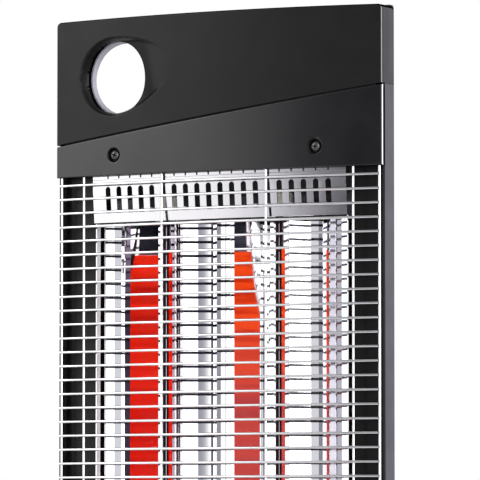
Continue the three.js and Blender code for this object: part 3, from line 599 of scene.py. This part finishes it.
class BowedShell:
    """A moulded skin over part of the bowed front: a grid with rounded edges and side walls."""

    def __init__(self, columns, low, high, low_roll, high_roll):
        """low(x) and high(x) are its edges, which are rounded to low_roll and high_roll."""
        edge = HALF - EDGE_STEPS
        self.x = np.unique(np.round(np.concatenate([-edge, edge, columns]), 4))
        self.x = self.x[np.abs(self.x) <= HALF]
        self.low, self.high = low(self.x), high(self.x)
        self.low_roll, self.high_roll = low_roll, high_roll

    def grid(self, inner_rows, relief):
        """inner_rows(low, high) gives a column's heights between the edges, relief(x, z) its depth."""
        rows = []
        for low, high in zip(self.low, self.high):
            ends_low = low + EDGE_STEPS
            ends_high = (high - EDGE_STEPS)[::-1]
            rows.append(np.concatenate([ends_low, inner_rows(ends_low[-1], ends_high[0]), ends_high]))
        self.z = np.array(rows)
        self.xx = np.repeat(self.x[:, None], self.z.shape[1], axis=1)
        self.relief = relief
        self.yy = self.surface(self.xx, self.z, self.low[:, None], self.high[:, None])

    def surface(self, x, z, low, high):
        return (
            front_y(x) + self.relief(x, z)
            + rolled(HALF - np.abs(x), SIDE_ROLL)
            + rolled(z - low, self.low_roll) + rolled(high - z, self.high_roll)
        )

    def build(self, name, back, low_back, high_back, holes):
        """Walls run back to `back` on the sides, and to low_back and high_back at the edges."""
        columns, rows = self.z.shape
        points = list(np.stack([self.xx, self.yy, self.z], -1).reshape(-1, 3))
        index = np.arange(columns * rows).reshape(columns, rows)
        faces = []
        for i in range(columns - 1):
            for j in range(rows - 1):
                faces.append([index[i, j], index[i + 1, j], index[i + 1, j + 1], index[i, j + 1]])
        walls = [
            (index[0, ::-1], back), (index[-1, :], back),
            (index[:, 0], low_back), (index[::-1, -1], high_back),
        ]
        for loop, depth in walls:
            previous = list(loop)
            for share in (0.15, 0.5, 1.0):
                ring = []
                for start in loop:
                    x, y, z = points[start]
                    ring.append(len(points))
                    points.append((x, y + (max(depth, y + 0.6) - y) * share, z))
                for k in range(len(loop) - 1):
                    faces.append([previous[k + 1], previous[k], ring[k], ring[k + 1]])
                previous = ring
        obj = mesh_object(name, points, [[int(v) for v in face] for face in faces])
        with edited(obj.data) as bm:
            bmesh.ops.remove_doubles(bm, verts=bm.verts, dist=WELD)
            for x, z, radius in holes:
                self.open_hole(bm, x, z, radius)
            bmesh.ops.recalc_face_normals(bm, faces=bm.faces)
            if sum(face.normal.y * face.calc_area() for face in bm.faces) > 0:
                bmesh.ops.reverse_faces(bm, faces=bm.faces)
        solid = obj.modifiers.new("wall", "SOLIDIFY")
        solid.thickness = SKIN * 0.001
        solid.offset = -1
        solid.use_even_offset = True
        return baked(obj, 40)

    def open_hole(self, bm, x, z, radius):
        """Removes the faces inside a circle and draws the edge they leave onto it."""

        def offset(point):
            return Vector((point.x * 1000 - x, point.z * 1000 - z))

        gone = [f for f in bm.faces
                if f.normal.y != 0 and offset(f.calc_center_median()).length < radius
                and f.calc_center_median().y * 1000 < COVER_BACK - 4]
        edge = {v for f in gone for v in f.verts}
        bmesh.ops.delete(bm, geom=gone, context="FACES")
        for vert in edge:
            if not vert.is_valid:
                continue
            away = offset(vert.co)
            if away.length < radius * 0.4:
                continue
            away = away.normalized() * radius
            vx, vz = x + away.x, z + away.y
            low = np.interp(vx, self.x, self.low)
            high = np.interp(vx, self.x, self.high)
            vy = self.surface(np.array([vx]), np.array([vz]), low, high)[0]
            vert.co = Vector((vx, float(vy), vz)) * 0.001


def cover_top(x):
    """The cover's upper edge, rounded at its two corners."""
    inward = np.clip(CORNER - (HALF - np.abs(x)), 0, CORNER)
    return TOP - CORNER + np.sqrt(CORNER**2 - inward**2) - CROWN * (x / HALF) ** 2


def make_cover(name, holes):
    """A cover in the head's place, with its scoop and with round holes at [x, z, radius]."""
    stops = [-HALF + EDGE_ZONE, SCOOP_X - SCOOP_LEFT - 4, TIP_X + 5, HALF - EDGE_ZONE]
    columns = grid_lines(stops, (3, 0.8, 4))
    rim = scoop_rim()
    shell = BowedShell(columns, lambda x: seam_z(x) + SEAM_GAP, cover_top, 0.5, 1.2)
    shell.grid(lambda a, b: np.linspace(a, b, COVER_ROWS)[1:-1], lambda x, z: scoop_depth(x, z, rim))
    cover = shell.build(name, COVER_BACK, FRONT_Y + 3, COVER_BACK, holes)
    return rounded(cover, 0.35, 2, 50)


EDGE_BAND = 2.5  # width within which the cover's rounded edges get painted shade and, on the right, a painted highlight


def paint_edge_shade_and_highlight(cover, hole):
    """Painted shade on the upper, left and hole edges; a painted highlight on the right edge."""
    painted(cover, "charcoal", "painted_shade", "edge")
    for face in cover.data.polygons:
        x, y, z = face.center * 1000
        n = face.normal
        beside = abs(x) > HALF - EDGE_BAND and 0.3 < abs(n.x) < 0.93
        above = z > TOP - CORNER - EDGE_BAND and 0.35 < n.z < 0.93
        rim = math.hypot(x - hole.x, z - hole.z) < HOLE_RADIUS + 0.4
        if rim or above or (beside and x < 0):
            face.material_index = 1
        elif beside:
            face.material_index = 2


head_hole = HOLE + HOLE_SHIFT
head = make_cover("head_cover_moulding", [(head_hole.x, head_hole.z, HOLE_RADIUS)])
paint_edge_shade_and_highlight(head, head_hole)
finished(head, "head_cover")

LENS_HOLE = 3.3  # radius of the indicator's hole
BOSS_PROFILE = [  # the knob's round seat: radius and depth from the front corners
    (0, 6), (20, 6), (20, -0.9), (19.4, -1.5), (17.9, -1.5), (17.7, -1.1), (17.2, -1.1), (17.0, -1.5),
    (4, -1.5), (3.6, -1.2), (3.6, -0.2), (0, -0.2),
]
# The lower cover is made in the head's place too, and then turned over with its seat for the knob.
lens_middle = middle("indicator_lens")
control = make_cover("control_cover_moulding", [(-lens_middle.x, 2 * MID - lens_middle.z, LENS_HOLE)])
boss = lathe("knob_boss", BOSS_PROFILE, (HOLE.x, FRONT_Y, HOLE.z), sides=96)
control = joined("control_cover_with_boss", control, boss)
finished(painted(turned_over(control), "charcoal"), "control_cover")

# ---- trims

SCREW = middle("upper_trim_screw_right")
TRIM_BACK = FRONT_Y + 1.2
SKIRT_INNER, SKIRT_OUTER = 148, 149.2  # black strips of painted shade that darken the gap behind a trim's ends
SKIRT_FRONT, SKIRT_BACK = 0.9, 4.7  # behind the front corners
CUP_RADIUS = 5.0
CUP_FLOOR = -2.5  # depth of a cup's floor, from the front corners
CUP_LIP = 6.2  # outer radius of the dished edge round a cup
CUP_ZONE = 7  # half width of the finer grid round a cup


def bowed_plate(name, near, far, half, low, high):
    """A closed strip behind the front, between two depths."""
    x = np.linspace(-half, half, 60)
    edges = [(near, low(x)), (near, high(x)), (far, high(x)), (far, low(x))]
    lines = [np.stack([x, front_y(x) + offset, z], -1) for offset, z in edges]
    return swept(name, list(zip(*lines)))


def make_trim(name):
    """The glossy band with its end strips, its tongue behind the seam and its two screw cups."""
    near, far = SCREW.x - CUP_ZONE, SCREW.x + CUP_ZONE
    stops = [-HALF + EDGE_ZONE, -far, -near, near, far, HALF - EDGE_ZONE]
    columns = grid_lines(stops, (4, 0.5, 5, 0.5, 4))
    shell = BowedShell(
        columns, lambda x: np.full_like(x, TRIM_LOW), lambda x: seam_z(x) - SEAM_GAP, 0.8, 0.5
    )
    cup_low = SCREW.z - CUP_ZONE
    cup_high = cup_low + 12.5

    def rows(a, b):
        return np.concatenate([
            np.linspace(a, cup_low, 8)[1:-1], np.linspace(cup_low, cup_high, 26),
            np.linspace(cup_high, b, 14)[1:-1],
        ])

    shell.grid(rows, lambda x, z: 0 * x)
    holes = [(side * SCREW.x, SCREW.z, CUP_LIP) for side in (-1, 1)]
    band = shell.build(name, TRIM_BACK, TRIM_BACK, FRONT_Y - 4, holes)
    rounded(band, 0.25, 2, 55)
    painted(band, "trim", "bright_sheet")
    # the band's end faces get bright sheet: a painted highlight
    for face in band.data.polygons:
        if abs(face.normal.x) > 0.8:
            face.material_index = 1
    tongue = bowed_plate(
        "tongue", SKIN + 0.3, SKIN + 2, HALF - SKIN - 4,
        lambda x: seam_z(x) - 8, lambda x: seam_z(x) + 7,
    )
    parts = [band, painted(tongue, "black")]
    for side in (-1, 1):
        end_high = float(seam_z(side * HALF)) - SEAM_GAP - 1
        first, last = sorted((side * SKIRT_INNER, side * SKIRT_OUTER))
        skirt = box_object(
            "skirt", (first, FRONT_Y + SKIRT_FRONT, TRIM_LOW), (last, FRONT_Y + SKIRT_BACK, end_high)
        )
        # painted shade in the gap behind the trim's end
        parts.append(painted(skirt, "painted_shade"))
        x = side * SCREW.x
        face = float(front_y(x)) - FRONT_Y
        outer = CUP_RADIUS + 1.8
        cup = lathe(
            "cup",
            [(0, CUP_FLOOR + 1.6), (outer, CUP_FLOOR + 1.6), (outer, face + 1.2),
             (CUP_LIP + 0.2, face + 0.9), (CUP_LIP, face + 0.2), (CUP_RADIUS + 0.6, face + 0.75),
             (CUP_RADIUS + 0.15, face + 1.2), (CUP_RADIUS, face + 1.8),
             (CUP_RADIUS, CUP_FLOOR - 0.4), (CUP_RADIUS - 0.4, CUP_FLOOR), (0, CUP_FLOOR)],
            (x, FRONT_Y, SCREW.z), sides=72,
        )
        # the cup's darker paint is painted shade round the screw
        parts.append(painted(cup, "cup"))
    return joined(name, *parts)


for node, over in (("upper_trim", False), ("lower_trim", True)):
    trim = make_trim(node + "_band")
    if over:
        turned_over(trim)
    finished(trim, node)

# ---- screws

CROSS_REACH = 0.66  # of the head's radius
CROSS_HALF = 0.55
CROSS_DEPTH = 1.5


def cross_screw(node, paint, head_radius, facing=-1, turned=0.35):
    """Domed cross-head screw in the place of a CAD one; facing is the way its head looks along Y."""
    low, high = span(node)
    centre = (low + high) / 2
    face = low.y if facing < 0 else high.y
    length = high.y - low.y
    seat = Vector((centre.x, face, centre.z))
    shank = head_radius * 0.52
    profile = [
        (0, 0), (head_radius * 0.35, 0.04), (head_radius * 0.65, 0.2), (head_radius * 0.88, 0.5),
        (head_radius, 0.95), (head_radius, 1.9), (head_radius - 0.15, 2.05), (shank, 2.05),
        (shank, length - 1.2), (shank * 0.5, length), (0, length),
    ]
    screw = lathe(node + "_screw", [(r, -facing * along) for r, along in profile], seat, sides=40)
    cutters = []
    for turn in (turned, turned + math.pi / 2):
        reach = head_radius * CROSS_REACH
        blade = box_object("blade", (-reach, -0.8, -CROSS_HALF), (reach, CROSS_DEPTH, CROSS_HALF))
        for vert in blade.data.vertices:
            if vert.co.y > 0:  # the recess narrows towards its floor
                vert.co.x *= 0.6
                vert.co.z *= 0.7
        if facing > 0:
            blade.data.transform(Matrix.Rotation(math.pi, 4, "Z"))
        blade.data.transform(Matrix.Translation(seat * 0.001) @ Matrix.Rotation(turn, 4, "Y"))
        cutters.append(blade)
    cut(screw, *cutters)
    # the walls and floor of the cross are painted black: painted shade
    painted(screw, paint, "painted_shade")
    for poly in screw.data.polygons:
        x, y, z = poly.center * 1000 - seat
        depth = -facing * y
        central = math.hypot(x, z) < head_radius * 0.7
        if central and depth < 1.8 and (depth > 0.5 or abs(poly.normal.y) < 0.9):
            poly.material_index = 1
    finished(screw, node)


for end in ("upper", "lower"):
    for side in ("left", "right"):
        turned = 0.45 if side == "left" else 0.08
        cross_screw(f"{end}_trim_screw_{side}", "screw", 3.6, turned=turned)
for number in (1, 2, 3, 4):
    cross_screw(f"shell_screw_{number}", "steel", 3.4, facing=1)

# ---- guard

WIRE = 2.2  # thickness of a wire
WIRE_SIDES = 12
UPRIGHT_SIDES = 16
GUARD_PITCH = 11.27
GUARD_COUNT = 44
guard_low, guard_high = span("wire_guard")
GUARD_TOP = span("reflector_cap_top")[1].z - 6.3
OUTER_UPRIGHT = guard_high.x - WIRE / 2


def make_guard():
    wires = []
    for row in range(GUARD_COUNT):
        z = GUARD_TOP - GUARD_PITCH * row
        xs = np.linspace(-OUTER_UPRIGHT - 0.6, OUTER_UPRIGHT + 0.6, 45)
        path = [(x, float(front_y(x)) + WIRE / 2, z) for x in xs]
        wires.append(tube("cross_wire", path, WIRE / 2, WIRE_SIDES))
    for side in (-1, 1):
        x = side * OUTER_UPRIGHT
        y = float(front_y(x)) + 1.5 * WIRE - 0.25
        ends = [(x, y, guard_low.z), (x, y, guard_high.z)]
        wires.append(tube("upright", ends, WIRE / 2, UPRIGHT_SIDES))
    return joined("chromed_guard", *wires)


finished(painted(make_guard(), "chrome"), "wire_guard")
for side in ("left", "right"):
    for number in (1, 2):
        node = f"guard_upright_{side}_{number}"
        low, high = span(node)
        place = (low + high) / 2
        y = place.y - 0.5
        wire = tube(node + "_wire", [(place.x, y, low.z), (place.x, y, high.z)], WIRE / 2, UPRIGHT_SIDES)
        finished(painted(wire, "chrome"), node)

# ---- reflector and lamps

LAMP = middle("lamp_tube_right")
TUBE_RADIUS = 5.5
REFLECTOR_SHEET = 0.7
reflector_low, reflector_high = span("reflector_right")
FOCAL = 33  # focal length of the walls' parabolas
BEAM_TILT = math.radians(30)  # each wall throws its light this far to one side
INNER_WALL = (38.2, 17.5, 40)  # first and last distance from the beam's axis; number of points
OUTER_WALL = (32.1, 9, 44)


def tilted_parabola(start, stop, steps):
    """A wall section focused on the lamp."""
    w = np.linspace(start, stop, steps)
    s = w**2 / (4 * FOCAL) - FOCAL
    return np.stack([s * math.sin(BEAM_TILT) - w * math.cos(BEAM_TILT),
                     -s * math.cos(BEAM_TILT) - w * math.sin(BEAM_TILT)], -1)


def facets(start, *steps):
    """Points of a pressed sheet's section: each step is a width and a slope in degrees."""
    points = [start]
    for width, slope in steps:
        x, y = points[-1]
        points.append((x + width, y - width * math.tan(math.radians(slope))))
    return points


def trough_section():
    """The right-hand trough's face, from the centre ridge to the outer lip."""
    inner = [(LAMP.x + x, LAMP.y + y) for x, y in tilted_parabola(*INNER_WALL)]
    outer = [(LAMP.x - x, LAMP.y + y) for x, y in tilted_parabola(*OUTER_WALL)[::-1]]
    lip_x = reflector_high.x
    swell = [(2.2, slope) for slope in (13, 11.7, 10.6, 9.6, 8.6)]
    floor = facets(inner[-1], (2, 6.5), *swell, (18, 16))
    slope = facets(floor[-1], (14, -36), (6, -20), (3.5, -7))
    bank = facets(outer[-1], (5, 5.5), (2, 36), (5.5, 21), (7, 15), (1.5, 6))
    ridge = [(0.3, FRONT_Y + 15.5), (4.2, FRONT_Y + 15.5), (4.5, FRONT_Y + 15.4)]
    lip = [(lip_x - 2.4, FRONT_Y + 10.6), (lip_x - 1.4, FRONT_Y + 6.5), (lip_x - 0.6, FRONT_Y + 6.5),
           (lip_x, FRONT_Y + 7), (lip_x, FRONT_Y + 7.6)]
    return np.array(ridge + inner + floor[1:] + slope[1:] + outer + bank[1:] + lip)


PAINTED_REFLECTION_FROM_LIP = 11  # section points counted back from the lip's back edge
SHADE_LINE_FROM_LIP = 6
PAINTED_REFLECTION_WIDER = 12  # points by which the right-hand painted reflection is wider
REFLECTOR_GRIP = 100  # length at each end over which a wall is bent back


def bent_section(section, z, side):
    """The section at a level: near the ends, the wall to the left of each lamp is bent back."""
    from_end = min(z - reflector_low.z, reflector_high.z - z)
    grip = max(0, 1 - from_end / REFLECTOR_GRIP)
    out = section.copy()
    x, y = section[:, 0] - LAMP.x, section[:, 1] - LAMP.y
    reach = np.abs(x) * math.cos(BEAM_TILT) - y * math.sin(BEAM_TILT)  # distance from the beam's axis
    wall = (y < 27) & (np.abs(x) < 46)  # leaves out the ridge, the floor and the lip
    if side == "left":
        outer = wall & (x > 20)
        tight = max(0, 1 - from_end / (REFLECTOR_GRIP * 0.7))
        out[outer, 1] += 1.1 * tight**2 * (np.clip(reach[outer] - 24, 0, None) / 8) ** 2
    else:
        inner = wall & (x < -20)
        out[inner, 1] += grip * (np.clip(30 - reach[inner], 0, None) / 10) ** 2
    return out


def make_reflector(side, sign):
    """One trough: a thin sheet drawn through the section at each level, with strips of painted reflection
    and a line of painted shade near the lip.
    """
    face = trough_section()
    levels = [reflector_low.z + d for d in (0, 4, 10, 18, 28, 40, 55, 72, 90, 100)]
    levels += [reflector_low.z + reflector_high.z - z for z in levels[::-1]]
    points = []
    for z in levels:
        near = bent_section(face, z, side)
        along = np.gradient(near, axis=0)
        along /= np.linalg.norm(along, axis=1)[:, None]
        back = near + REFLECTOR_SHEET * np.stack([-along[:, 1], along[:, 0]], -1)
        points += [(sign * x, y, z) for x, y in np.concatenate([near, back[::-1]])]
    half = len(face)
    n = 2 * half
    # painted reflection on strips near the lip, then a facet of painted shade and one of rough sheet
    first_painted_reflection = half - PAINTED_REFLECTION_FROM_LIP - (PAINTED_REFLECTION_WIDER if side == "right" else 0)
    painted_light_faces = {k: 1 for k in range(first_painted_reflection, half - PAINTED_REFLECTION_FROM_LIP + 1)}
    painted_light_faces[half - SHADE_LINE_FROM_LIP] = 2
    painted_light_faces[half - SHADE_LINE_FROM_LIP + 1] = 3
    faces, paints = [], []
    for level in range(len(levels) - 1):
        for k in range(n):
            m = (k + 1) % n
            a, b = level * n, (level + 1) * n
            faces.append([a + k, a + m, b + m, b + k])
            paints.append(painted_light_faces.get(k, 0))
    for a in (0, n * (len(levels) - 1)):
        for k in range(half - 1):
            faces.append([a + k, a + k + 1, a + n - 2 - k, a + n - 1 - k])
            paints.append(0)
    obj = mesh_object(f"reflector_{side}_sheet", points, faces)
    # mirror, painted reflection, painted shade and rough sheet
    painted(obj, "mirror", "painted_reflection_pale" if side == "right" else "painted_reflection_dark", "painted_shade", "sheet")
    obj.data.polygons.foreach_set("material_index", paints)
    finished(cleaned(obj, angle=1.7), f"reflector_{side}")


for side, sign in (("left", -1), ("right", 1)):
    make_reflector(side, sign)

tube_low, tube_high = span("lamp_tube_right")
ribbon_low, ribbon_high = span("heating_ribbon_right")
FOIL_LENGTH = 33  # of the dull foil at each end of a ribbon
FOIL_SHARE = 0.4  # width of a foil against the glowing part
GLOW_HALF = (ribbon_high.z - ribbon_low.z) / 2 - FOIL_LENGTH
TUBE_STRIPES = [(-60, 0, 1), (0, 8, 2), (8, 23, 1)]  # bearings in degrees; number of the material: painted shade, a painted highlight, painted shade
SLEEVE_START = 25.5  # a lamp end's mouth, from the inner end of its CAD node


def make_lamp(side, sign):
    """A quartz tube with stripes of painted shade and a painted highlight, and the ribbon inside it."""
    x, y = sign * LAMP.x, LAMP.y
    bore = TUBE_RADIUS - 1
    wall = [(bore, tube_low.z), (bore + 0.2, tube_low.z - 0.2), (TUBE_RADIUS, tube_low.z),
            (TUBE_RADIUS, tube_high.z), (bore, tube_high.z), (bore, tube_low.z)]
    glass = lathe(f"quartz_tube_{side}", wall, (x, y, 0), "Z")
    painted(glass, "quartz", "tube_painted_shade", "bright_sheet")
    # stripes by bearing: painted shade and a painted highlight of bright sheet
    for face in glass.data.polygons:
        cx, cy, _ = face.center * 1000
        bearing = math.degrees(math.atan2(cx - x, y - cy))
        for first, last, paint in TUBE_STRIPES:
            if first < bearing < last:
                face.material_index = paint
    finished(glass, f"lamp_tube_{side}")
    thick = (ribbon_high.x - ribbon_low.x) / 2
    deep = (ribbon_high.y - ribbon_low.y) / 2
    middle_z = (ribbon_low.z + ribbon_high.z) / 2
    strips = []
    for low, high, share, paint in (
        (ribbon_low.z, middle_z - GLOW_HALF - 0.1, FOIL_SHARE, "foil"),
        (middle_z - GLOW_HALF, middle_z + GLOW_HALF, 1, f"glow_{side}"),
        (middle_z + GLOW_HALF + 0.1, ribbon_high.z, FOIL_SHARE, "foil"),
    ):
        strip = box_object("strip", (x - thick, y - deep * share, low), (x + thick, y + deep * share, high))
        strips.append(painted(rounded(strip, 0.15), paint))
    finished(joined(f"ribbon_{side}", *strips), f"heating_ribbon_{side}")


for side, sign in (("left", -1), ("right", 1)):
    make_lamp(side, sign)

for end in ("top", "bottom"):
    for side in ("left", "right"):
        node = f"lamp_end_{end}_{side}"
        low, high = span(node)
        x, y = (low.x + high.x) / 2, (low.y + high.y) / 2
        away = 1 if end == "top" else -1
        start = low.z if end == "top" else high.z
        inner = TUBE_RADIUS + 0.3
        block = lathe(node + "_block", [
            (r, away * z) for r, z in (
                (inner, SLEEVE_START), (7.0, SLEEVE_START), (7.3, SLEEVE_START + 0.4), (7.6, 27.2),
                (8.5, 28), (8.5, 40), (7.7, 41), (0, 41), (0, 33.4), (inner, 33.4), (inner, SLEEVE_START))
        ], (x, y, start), "Z")
        finished(painted(block, "ceramic"), node)
        refined(f"lamp_bracket_{end}_{side}", "sheet", 0.25)

# ---- slotted caps and panels

SLOTS = 20
SLOT_PITCH = 10.67
SLOT_HALF = 2.4  # half width of a slot, and the radius of its upper end
SLOT_LOW, SLOT_HIGH = 642, 661
NOTCH_HALF, NOTCH_DEPTH = 0.7, 1.9  # small notches in the cap's upper edge, one over each slot
GROOVE_BELOW = 2.5  # a pressed groove under the notched edge
CAP_BEHIND = 5.3  # distance of the cap behind the bowed front
CAP_LEAN = 2.4  # how far its lower edge leans back
CAP_BEND = 661
CAP_SHEET = 0.9


def slot_cutter(x):
    arc = [math.pi * k / 12 for k in range(13)]
    outline = [(x - SLOT_HALF, SLOT_LOW), (x + SLOT_HALF, SLOT_LOW)]
    outline += [(x + SLOT_HALF * math.cos(t), SLOT_HIGH + SLOT_HALF * math.sin(t)) for t in arc]
    return swept("slot", [[(u, y, v) for u, v in outline] for y in (FRONT_Y - 6, FRONT_Y + 14)])


def cap_section(x, top, low):
    """The cap's [y, z] outline at x: flat at the top, leaning back below its bend."""
    front = float(front_y(x)) + CAP_BEHIND
    bend = [(front + 0.28, CAP_BEND - 3), (front + 0.07, CAP_BEND - 1.2), (front, CAP_BEND + 1)]
    line = top - GROOVE_BELOW
    groove = [(front, line - 0.4), (front + 0.4, line), (front, line + 0.3)]
    face = [(front + CAP_LEAN, low)] + bend + groove + [(front, top)]
    return face + [(y + CAP_SHEET, z) for y, z in face[::-1]]


def make_cap(node, over):
    low, high = span("reflector_cap_top")
    stations = np.linspace(low.x, high.x, 61)
    cap = swept(node + "_slotted", [
        [(x, y, z) for y, z in cap_section(x, high.z, low.z)] for x in stations
    ])
    places = [(k - (SLOTS - 1) / 2) * SLOT_PITCH for k in range(SLOTS)]
    slots = joined("slots", *[slot_cutter(x) for x in places])
    notches = joined("notches", *[
        box_object("notch", (x - NOTCH_HALF, FRONT_Y - 8, high.z - NOTCH_DEPTH),
                   (x + NOTCH_HALF, FRONT_Y + 14, high.z + 4))
        for x in places
    ])
    cut(cap, slots, notches)
    rounded(cap, 0.15, 2, 30)
    crisp(cap, 9)
    # the cap's back faces are painted black: painted shade for the dark space behind the slots
    painted(cap, "bright_sheet", "black")
    for face in cap.data.polygons:
        if face.normal.y > 0.5:
            face.material_index = 1
    if over:
        turned_over(cap)
    finished(cap, node)


make_cap("reflector_cap_top", False)
make_cap("reflector_cap_bottom", True)
PANEL_REACH = 5  # how far the panels run behind the trims
for side in ("left", "right"):
    panel = refined(f"side_panel_{side}", "panel", 0.4)
    for vert in panel.data.vertices:
        vert.co.z += math.copysign(PANEL_REACH, vert.co.z * 1000 - MID) * 0.001

# ---- shell, sleeve and base

refined("rear_shell", "shell", 0)
LINER_GROWTH = 1.014  # the liner fills the moulded hole
liner = refined("handle_liner", "liner", 0.3)
grow = Matrix.Diagonal((LINER_GROWTH, 1, LINER_GROWTH, 1))
at = Matrix.Translation(HOLE * 0.001)
liner.data.transform(Matrix.Translation(HOLE_SHIFT * 0.001) @ at @ grow @ at.inverted())
refined("pedestal", "charcoal", 1.6, 3, 30)
refined("base_plate", "charcoal", 0.3)
for node in ("cord_gland", "thermal_cutout", "bracket_bolt_left", "bracket_bolt_right", "selector_knob"):
    refined(node, "black", 0.4)
refined("heat_shield", "dark_steel", 0.2)
for node in ("terminal_block", "selector_switch", "tip_switch_housing"):
    refined(node, "ceramic", 0.3)
for node in ("plate_bolt_1", "plate_bolt_2", "selector_shaft"):
    refined(node, "steel", 0.2)
for row in ("front", "back"):
    for side in ("left", "right"):
        refined(f"foot_{row}_{side}", "rubber", 0.4)
for node, paint in (("indicator_lens", "amber"), ("tip_plunger", "amber"), ("tip_spring", "steel"),
                    ("lamp_wire_left", "wiring"), ("lamp_wire_right", "wiring")):
    painted(frame["nodes"][node], paint)

# ---- studio


def make_world():
    """White studio seen by the camera; softer bands of light and shade for the reflections."""
    world = bpy.data.worlds.new("studio")
    bpy.context.scene.world = world
    world.use_nodes = True
    sky = Nodes(world.node_tree)
    background = sky.tree.nodes["Background"]
    place = sky.node("ShaderNodeTexCoord").outputs["Generated"]
    split = sky.node("ShaderNodeSeparateXYZ", {"Vector": place})
    front = sky.math("MULTIPLY", split.outputs["Y"], -1)
    bearing = sky.math("ARCTAN2", split.outputs["X"], front)
    light = sky.node("ShaderNodeValToRGB", {"Fac": sky.ramp(bearing, 0, 1, -math.pi, math.pi)})
    # Bearings in degrees, 0 towards the front and positive to the right, with their brightness
    # and how violet they are.
    bands = [
        (-180, 0.8, 0), (-125, 0.35, 0.1), (-84, 0.31, 0.2), (-72, 0.33, 0.2), (-66, 1.0, 0.1),
        (-60, 2.2, 0), (-43, 2.0, 0), (-36, 1.7, 0), (-30, 1.55, 0), (-25, 1.05, 0.05),
        (-21, 0.4, 0.05), (-17, 0.1, 0.1), (-14, 0.3, 0.15), (-9, 0.45, 0.08), (-5, 1.0, 0),
        (0, 2.2, 0), (5, 1.6, 0), (9, 0.7, 0.05), (15, 0.7, 0.05), (21, 2.2, 0), (27, 3, 0),
        (29, 4, 0), (55, 4, 0), (65, 2.4, 0), (90, 1.2, 0), (150, 2.1, 0.12), (180, 0.8, 0),
    ]
    elements = light.color_ramp.elements
    while len(elements) > 1:
        elements.remove(elements[-1])
    for k, (degrees, level, violet) in enumerate(bands):
        spot = (degrees + 180) / 360
        element = elements[0] if k == 0 else elements.new(spot)
        element.position = spot
        element.color = (level, level * (1 - 0.1 * violet), level * (1 + violet), 1)
    sky.link(light.outputs["Color"], background.inputs["Color"])
    steep = sky.math("ABSOLUTE", split.outputs["Z"])
    sky.link(sky.ramp(steep, 1.0, 0.35, 0.4, 0.8), background.inputs["Strength"])
    white = sky.node("ShaderNodeBackground", {"Color": (1, 1, 1, 1)})
    seen = sky.node("ShaderNodeMixShader", {
        "Fac": sky.node("ShaderNodeLightPath").outputs["Is Camera Ray"],
        1: background.outputs["Background"],
        2: white.outputs["Background"],
    })
    sky.link(seen.outputs["Shader"], sky.tree.nodes["World Output"].inputs["Surface"])


def area_light(name, place, aim, size, power):
    data = bpy.data.lights.new(name, "AREA")
    data.shape = "RECTANGLE"
    data.size, data.size_y = size
    data.energy = power
    light = bpy.data.objects.new(name, data)
    bpy.context.scene.collection.objects.link(light)
    place, aim = Vector(place), Vector(aim)
    light.matrix_world = (
        Matrix.Translation(place) @ (aim - place).to_track_quat("-Z", "Y").to_matrix().to_4x4()
    )


def make_floor():
    mesh = bpy.data.meshes.new("studio_floor")
    with edited(mesh) as bm:
        bmesh.ops.create_circle(bm, cap_ends=True, radius=3.0, segments=96)
    floor = object_from(mesh, "studio_floor")
    paint = Finish("pale_floor", (0.85, 0.85, 0.85), 0.6).vary_roughness(3, 0.5, 0.7)
    mesh.materials.append(paint.material)


make_world()
make_floor()
area_light("key", (-2.2, -2.6, 1.9), (0, 0, 0.5), (1.2, 1.6), 15)
area_light("rim", (2.4, 1.2, 1.4), (0, 0, 0.6), (0.6, 1.8), 12)
bpy.context.scene.view_settings.view_transform = "Standard"
